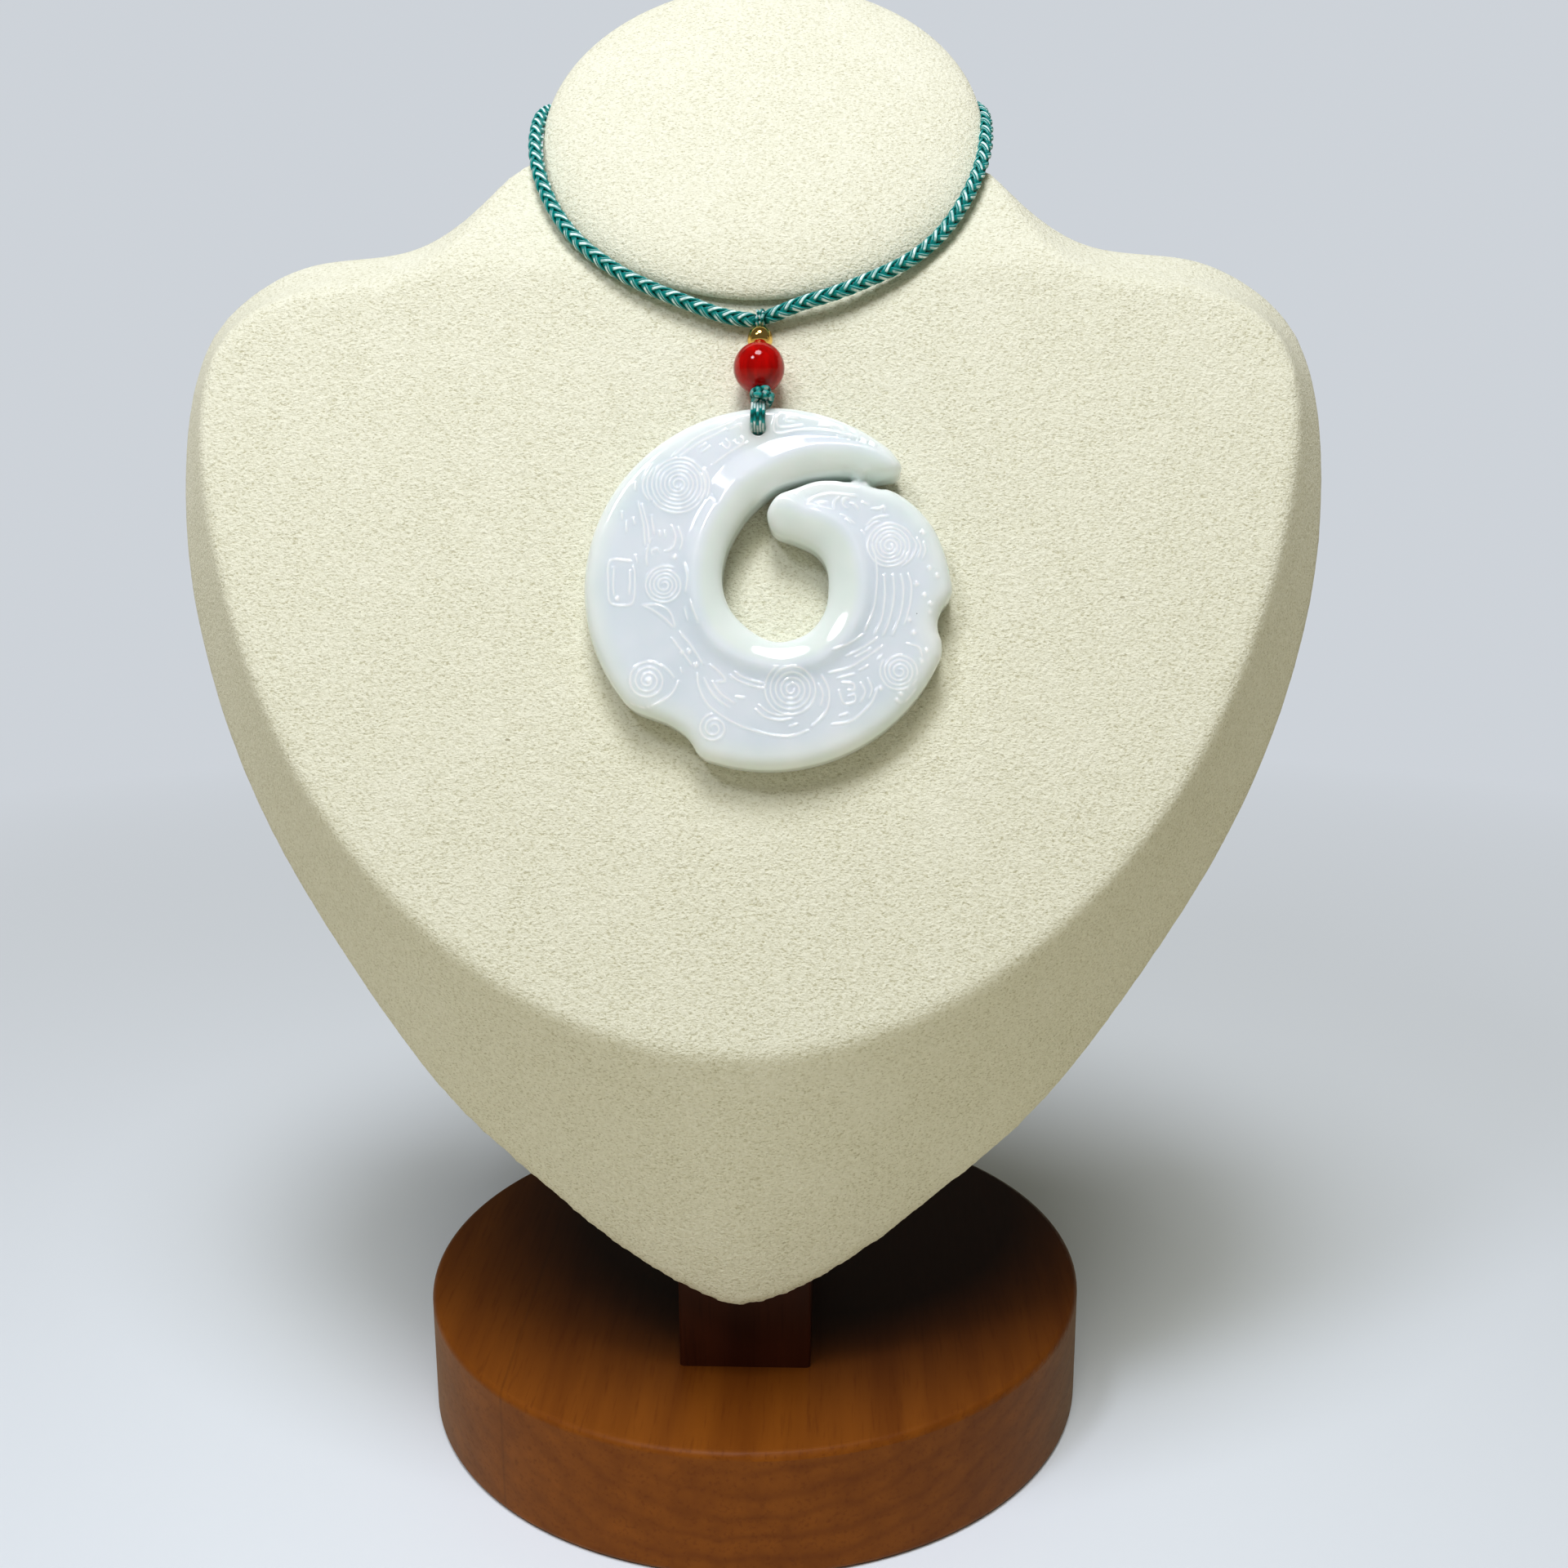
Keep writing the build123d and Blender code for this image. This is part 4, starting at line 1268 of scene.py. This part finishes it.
# %% [markdown]
# ## Beads
#
# Both beads are turned shapes: a profile from the bore, out over the belly and back to the
# bore, spun round the thread's line. The red one is clear glass, so its drilled bore shows
# inside as a darker line. The gold one is a polished dome with a fine step near its lower
# mouth, like an acorn in its cup.

# %% Thread line
gold_middle = Vector((2.6, -14.93, 189.50))
red_middle = Vector((2.6, -18.95, 184.90))
thread_way = (red_middle - gold_middle).normalized()
print("thread leans", round(np.degrees(np.arccos(-thread_way.z)), 1), "degrees off the vertical")


def turned(name, profile, middle, material, columns=72):
    """A profile of (radius, distance down the thread) spun round the thread's line, as a ring."""
    first = thread_way.cross(Vector((1, 0, 0))).normalized()
    second = thread_way.cross(first)
    places, faces = [], []
    for radius, down in profile:
        for column in range(columns):
            turn = 2 * pi * column / columns
            spoke = first * cos(turn) + second * sin(turn)
            places.append(middle + thread_way * down + spoke * radius)
    for row in range(len(profile)):
        below = (row + 1) % len(profile)
        for column in range(columns):
            after = (column + 1) % columns
            corners = ((row, column), (row, after), (below, after), (below, column))
            faces.append(tuple(line * columns + step for line, step in corners))
    return mesh_from(name, places, faces, material)


def ball_profile(radius, bore, steps=28):
    """A drilled ball from one mouth of the bore over the belly to the other, and back inside."""
    first = np.arcsin(bore / radius)
    outside = [
        (radius * sin(turn), -radius * cos(turn)) for turn in np.linspace(first, pi - first, steps)
    ]
    inside = [(bore, down) for down in np.linspace(outside[-1][1], outside[0][1], 9)[1:-1]]
    return outside + inside


# %% Glass and gold
red_glass, tree, shader, place = new_material("clear_red_glass")
_, cloud = mottled(tree, stretched(tree, place, (1.0, 1.0, 0.15)), cloud_scale=900.0)
clouds = ramp(tree, cloud, 0.3, 0.7)
ruby = mix_colour(tree, clouds, (0.4, 0.0, 0.0, 1), (0.74, 0.0, 0.0, 1))
fill(tree, shader, Base_Color=ruby, Roughness=0.03, IOR=1.45)
fill(tree, shader, Transmission_Weight=0.4, Specular_IOR_Level=0.28)

gold, tree, shader, place = new_material("polished_gold")
grain, cloud = mottled(tree, place, 3000.0, 400.0)
clouds = ramp(tree, cloud, 0.3, 0.7)
metal = mix_colour(tree, clouds, (0.78, 0.46, 0.1, 1), (0.9, 0.62, 0.2, 1))
fill(tree, shader, Base_Color=metal, Metallic=1.0, Roughness=0.1)
bump(tree, shader, grain, 0.00001, 0.3)

# %% Bead pieces
red_mesh = turned("glass_bead", ball_profile(4.0, 0.6), red_middle, red_glass)
show("glass_bead", red_mesh, "red_glass", "red_bead")
acorn = [
    (0.5, -1.93), (0.8, -1.83), (1.15, -1.63), (1.5, -1.3), (1.77, -0.9), (1.93, -0.45),
    (1.99, 0.0), (2.0, 0.35), (1.93, 0.75), (1.84, 0.95), (1.78, 1.0), (1.7, 1.25), (1.35, 1.55),
    (0.9, 1.82), (0.5, 1.93), (0.5, 1.0), (0.5, -1.0),
]
gold_mesh = turned("gold_acorn", acorn, gold_middle, gold)
show("gold_acorn", gold_mesh, "gold_metal", "gold_bead")

# %% [markdown]
# ## The thread loop
#
# A thin thread runs through both beads, is knotted below the red one, and its strands go down
# over the pendant's rim, in at the hole and up the back. Five thin strands lie side by side. The
# knot is an interlaced ring: its thread goes three times round while it swings up and down four
# times, and in and out twice as often, so it passes over and under itself.


# %% Strands of thread
def strand_tree():
    """A round thread along each incoming curve, with glints that differ a little between threads."""
    tree, enter = new_tree("strand", {"Thread": 0.00025, "Count": 60, "Glints": 60.0})
    dense = even_curve(tree, enter["Geometry"], enter["Count"])
    share = spline_share(tree)
    which = tree.nodes.new("GeometryNodeCurveOfPoint").outputs["Curve Index"]
    lines = stored(tree, stored(tree, dense, "along", share), "own", which)
    section = stored(tree, round_section(tree, enter["Thread"], 8), "around", share)
    thread = skinned(tree, lines, section)
    # Painted highlights: glints along each thread, kept as crown, a little apart from one thread to the
    # next.
    spread = times(tree, calc(tree, "SINE", times(tree, recalled(tree, "own"), 2.4)), 0.3)
    wave = plus(tree, times(tree, recalled(tree, "along"), enter["Glints"]), spread)
    glint = calc(tree, "ABSOLUTE", calc(tree, "SINE", wave))
    end_tree(tree, stored(tree, thread, "crown", glint), enter)
    return tree


strand = strand_tree()


def strands(name, routes, material, **sizes):
    """Several threads, each along its own route, in one mesh."""
    return grown(name, nurbs_line(name, *routes), strand, material, **sizes)


knot_down = 12.3
knot_middle = gold_middle + thread_way * knot_down + Vector((0.7, -0.5, 0.2))
knot_local = knot_middle - pendant_middle
knot_up, knot_out = knot_local.dot(pendant_up), knot_local.dot(pendant_out)
print("knot at", round(knot_up, 1), "up and", round(knot_out, 1), "out of the pendant's back")
# columns: up, out of the pendant's back
way_through = [
    (27.3, 6.6), (26.2, 7.0), (25.0, 6.9), (24.1, 6.0), (23.9, 3.2), (24.0, 0.2), (25.0, -0.4),
    (27.3, -0.35), (28.9, 1.2),
]
loop_routes = []
for number in range(-2, 3):
    aside = hole_across + number * 0.44
    top = hole_across + number * 0.4
    route = [(top, knot_up, knot_out - 0.2), (top, knot_up - 1.0, knot_out + 0.3)]
    route += [(aside, up, out) for up, out in way_through]
    route += [(top, knot_up - 0.8, knot_out - 1.4), (top, knot_up, knot_out - 0.4)]
    loop_routes.append([pendant_point(*place) for place in route])
loop_mesh = strands("thread_loop", loop_routes, fine_yarn, Thread=0.00026, Count=110, Glints=17.0)
show("thread_loop", loop_mesh, "teal_thread", "hanging_loop")


# %% Knot, binding and thread through the beads
def interlaced(middle, axis, reach, sway, rise):
    """The line of a thread that goes three times round an axis, over and under itself."""
    side = axis.cross(Vector((0, 0.6, 0.8))).normalized()
    other = axis.cross(side)
    places = []
    for swing in np.linspace(0, 6 * pi, 97):
        spoke = side * cos(swing) + other * sin(swing)
        far = reach + sway * sin(8 * swing / 3)
        places.append(middle + spoke * far + axis * (rise * cos(4 * swing / 3)))
    return places


knot_route = interlaced(knot_middle, thread_way, 1.32, 0.24, 0.78)
knot_mesh = strands("thread_knot", [knot_route], fine_yarn, Thread=0.00042, Count=320, Glints=75.0)
binding_middle = Vector((2.6, -13.2, 192.5))
binding_route = interlaced(binding_middle, Vector((1, 0, 0)), 1.22, 0.14, 0.5)
binding_mesh = strands("binding", [binding_route], fine_yarn, Thread=0.00027, Count=320, Glints=75.0)
show("binding", binding_mesh, "teal_thread", "cord_whipping")
show("thread_knot", knot_mesh, "teal_thread", "loop_knot")
start = gold_middle - thread_way * 1.8
end = gold_middle + thread_way * 10.3
through = [start.lerp(end, share) for share in (0, 0.3, 0.7, 1)]
through_mesh = strands("bead_thread_strand", [through], fine_yarn, Thread=0.00035, Count=24)
show("bead_thread_strand", through_mesh, "teal_thread", "bead_thread")

# %% [markdown]
# ## Stained wood
#
# The base is cut from a board whose growth rings curve like a smile on its front edge, so the
# tree's heart lay above it and ran from front to back. One distance from that line, bent by a
# slow noise, gives rings that agree on the top and on the side, as they do in real wood. Short
# fine streaks along the grain are the pores. A thin dark line is the glued joint of two boards.
# The base's top also carries a painted shade, darkest round and just behind the post, where the bust
# shades it.


# %% Wood material
ring_spacing = 0.0044
joint_across = -39.6


def wood(name, heart, stretch, light, dark, painted_shade):
    """Stained wood with rings round a heart line, pores along it and painted shade round the post."""
    material, tree, shader, place = new_material(name)
    parted = node(tree, "ShaderNodeSeparateXYZ", Vector=place).outputs
    heart_across, heart_rise, rise_axis = heart
    shade_inner, shade_outer, shade_share, shade_across, shade_back = painted_shade
    bend, drift = mottled(tree, stretched(tree, place, stretch), 30.0, 12.0)
    side = minus(tree, parted[0], heart_across * MM)
    rise = minus(tree, parted[rise_axis], heart_rise * MM)
    from_heart = node(tree, "ShaderNodeCombineXYZ", X=side, Y=rise).outputs[0]
    bent = plus(tree, vector_calc(tree, "LENGTH", from_heart), times(tree, bend, 0.014))
    wave = calc(tree, "SINE", times(tree, bent, 2 * pi / ring_spacing))
    ring_share = calc(tree, "POWER", times(tree, plus(tree, wave, 1.0), 0.5), 3.0)
    ring_depth = times(tree, ramp(tree, drift, 0.3, 0.6), 0.42)
    fine = tuple(share if share == 1 else 0.06 for share in stretch)
    pores, clouds = mottled(tree, stretched(tree, place, fine), 1500.0, 220.0)
    stain = mix_colour(tree, times(tree, ramp(tree, clouds, 0.3, 0.7), 0.45), light, dark)
    stain = mix_colour(tree, times(tree, ring_share, ring_depth), stain, dark)
    stain = mix_colour(tree, times(tree, ramp(tree, pores, 0.54, 0.68), 0.4), stain, dark)
    from_joint = calc(tree, "ABSOLUTE", minus(tree, parted[0], joint_across * MM))
    joint = times(tree, ramp(tree, from_joint, 0.35 * MM, 0.1 * MM), 0.2)
    stain = mix_colour(tree, joint, stain, (0.02, 0.004, 0.001, 1))
    # Painted shade: the top is painted darker within a circle round a point just behind the post, where
    # the bust shades the base.
    across = minus(tree, parted[0], shade_across * MM)
    back = minus(tree, parted[1], shade_back * MM)
    from_post = node(tree, "ShaderNodeCombineXYZ", X=across, Y=back).outputs[0]
    post_shade = ramp(tree, vector_calc(tree, "LENGTH", from_post), shade_outer * MM, shade_inner * MM)
    stain = mix_colour(tree, times(tree, post_shade, shade_share), stain, (0.018, 0.003, 0.001, 1))
    rough = plus(tree, 0.4, times(tree, pores, 0.12))
    fill(tree, shader, Base_Color=stain, Roughness=rough, Specular_IOR_Level=0.14)
    bump(tree, shader, pores, 0.00004, 0.3)
    return material


def repaint(name, material):
    """A CAD node keeps its shape and gets its finish."""
    piece = nodes[name]
    for slot in piece.material_slots:
        slot.material = material
    if not piece.material_slots:
        piece.data.materials.append(material)


base_wood = wood(
    "stained_base_wood",
    heart=(6, 75, 2),
    stretch=(1, 0.15, 1),
    light=(0.25, 0.072, 0.006, 1),
    dark=(0.11, 0.024, 0.002, 1),
    # painted shade on the top: inner and outer reach, share, middle across and back, in millimetres
    painted_shade=(42, 88, 1.0, 8, 22),
)
# The post's colour is its stain made far darker by painted shade, for the bust's shadow that it stands
# in.
shaded_post_wood = wood(
    "stained_and_shaded_post_wood",
    heart=(40, 30, 1),
    stretch=(1, 1, 0.12),
    light=(0.05, 0.011, 0.004, 1),
    dark=(0.02, 0.004, 0.002, 1),
    painted_shade=(1, 2, 0.0, 0, 0),
)
repaint("wood_base", base_wood)
repaint("wood_post", shaded_post_wood)

# %% [markdown]
# ## Floor and light
#
# The stand is shown on a plain pale surface under soft light. A large disc is the floor. It
# fades into the colour of the wall behind, so no horizon shows. The world gives a faint even
# light, two area lights above give the soft modelling and the shine on the stone, and a broad
# sun fills in from the front.

# %% Floor
backdrop = (0.614, 0.65, 0.695, 1)
floor_radius = 6.0


def camera_ray(tree):
    """One where the camera looks straight at a thing, nought for light that bounces."""
    return tree.nodes.new("ShaderNodeLightPath").outputs["Is Camera Ray"]


def end_shader(tree, leave, factor, first, second):
    """Two shaders mixed by a factor, fed to the tree's output."""
    both = tree.nodes.new("ShaderNodeMixShader")
    for socket, value in zip(both.inputs, (factor, first, second)):
        tree.links.new(value, socket)
    tree.links.new(both.outputs[0], tree.nodes[leave].inputs["Surface"])


floor_material, tree, shader, place = new_material("pale_floor")
_, cloud = mottled(tree, place, cloud_scale=3.0)
pale = mix_colour(tree, cloud, (0.79, 0.85, 0.935, 1), (0.82, 0.88, 0.965, 1))
direct = camera_ray(tree)
seen_pale = mix_colour(tree, direct, (0.85, 0.8, 0.64, 1), pale)
fill(tree, shader, Base_Color=seen_pale, Roughness=0.6, Specular_IOR_Level=0.2)
haze = node(tree, "ShaderNodeEmission", Color=backdrop, Strength=1.0)
away = times(tree, ramp(tree, vector_calc(tree, "LENGTH", place), 0.1, 0.6), direct)
end_shader(tree, "Material Output", away, shader.outputs[0], haze.outputs[0])
floor_shape = bmesh.new()
bmesh.ops.create_circle(floor_shape, cap_ends=True, radius=floor_radius, segments=96)
floor_mesh = bpy.data.meshes.new("floor")
floor_shape.to_mesh(floor_mesh)
floor_shape.free()
floor_mesh.materials.append(floor_material)
floor = new_object("floor", floor_mesh)
print("floor", 2 * floor_radius, "m across")

# %% World and lights
world = bpy.data.worlds.new("studio")
world.use_nodes = True
bpy.context.scene.world = world
sky = world.node_tree
ambient = sky.nodes["Background"]
fill(sky, ambient, Color=(1.0, 0.96, 0.78, 1), Strength=0.12)
seen = node(sky, "ShaderNodeBackground", Color=backdrop, Strength=1.0)
end_shader(sky, "World Output", camera_ray(sky), ambient.outputs[0], seen.outputs[0])


def new_light(name, kind, power, colour):
    """A light of one kind with its power and colour."""
    lamp = bpy.data.lights.new(name, kind)
    lamp.energy = power
    lamp.color = colour
    print("light", name, kind, "power", power)
    return new_object(name, lamp)


def soft_light(name, place, aim, size, power, colour):
    """An area light at a place, turned towards a point, both in millimetres."""
    light = new_light(name, "AREA", power, colour)
    light.data.shape = "DISK"
    light.data.size = size * MM
    turn = (Vector(aim) - Vector(place)).to_track_quat("-Z", "Y")
    light.matrix_world = Matrix.LocRotScale(Vector(place) * MM, turn, None)


def soft_sun(name, toward, spread, power, colour):
    """A broad sun that lights the floor evenly as far as the eye goes, and mirrors nowhere."""
    light = new_light(name, "SUN", power, colour)
    light.data.angle = radians(spread)
    light.rotation_euler = Vector(toward).to_track_quat("Z", "Y").to_euler()
    light.visible_glossy = False


soft_light("key", (-190, -300, 520), (0, -30, 170), 110, 0.62, (0.98, 1, 1.09))
soft_light("top", (-15, -175, 620), (0, -20, 150), 190, 1.3, (0.98, 1, 1.09))
soft_sun("sky_sun", (0.0, -0.42, 0.9), 26, 1.25, (1, 0.975, 0.88))
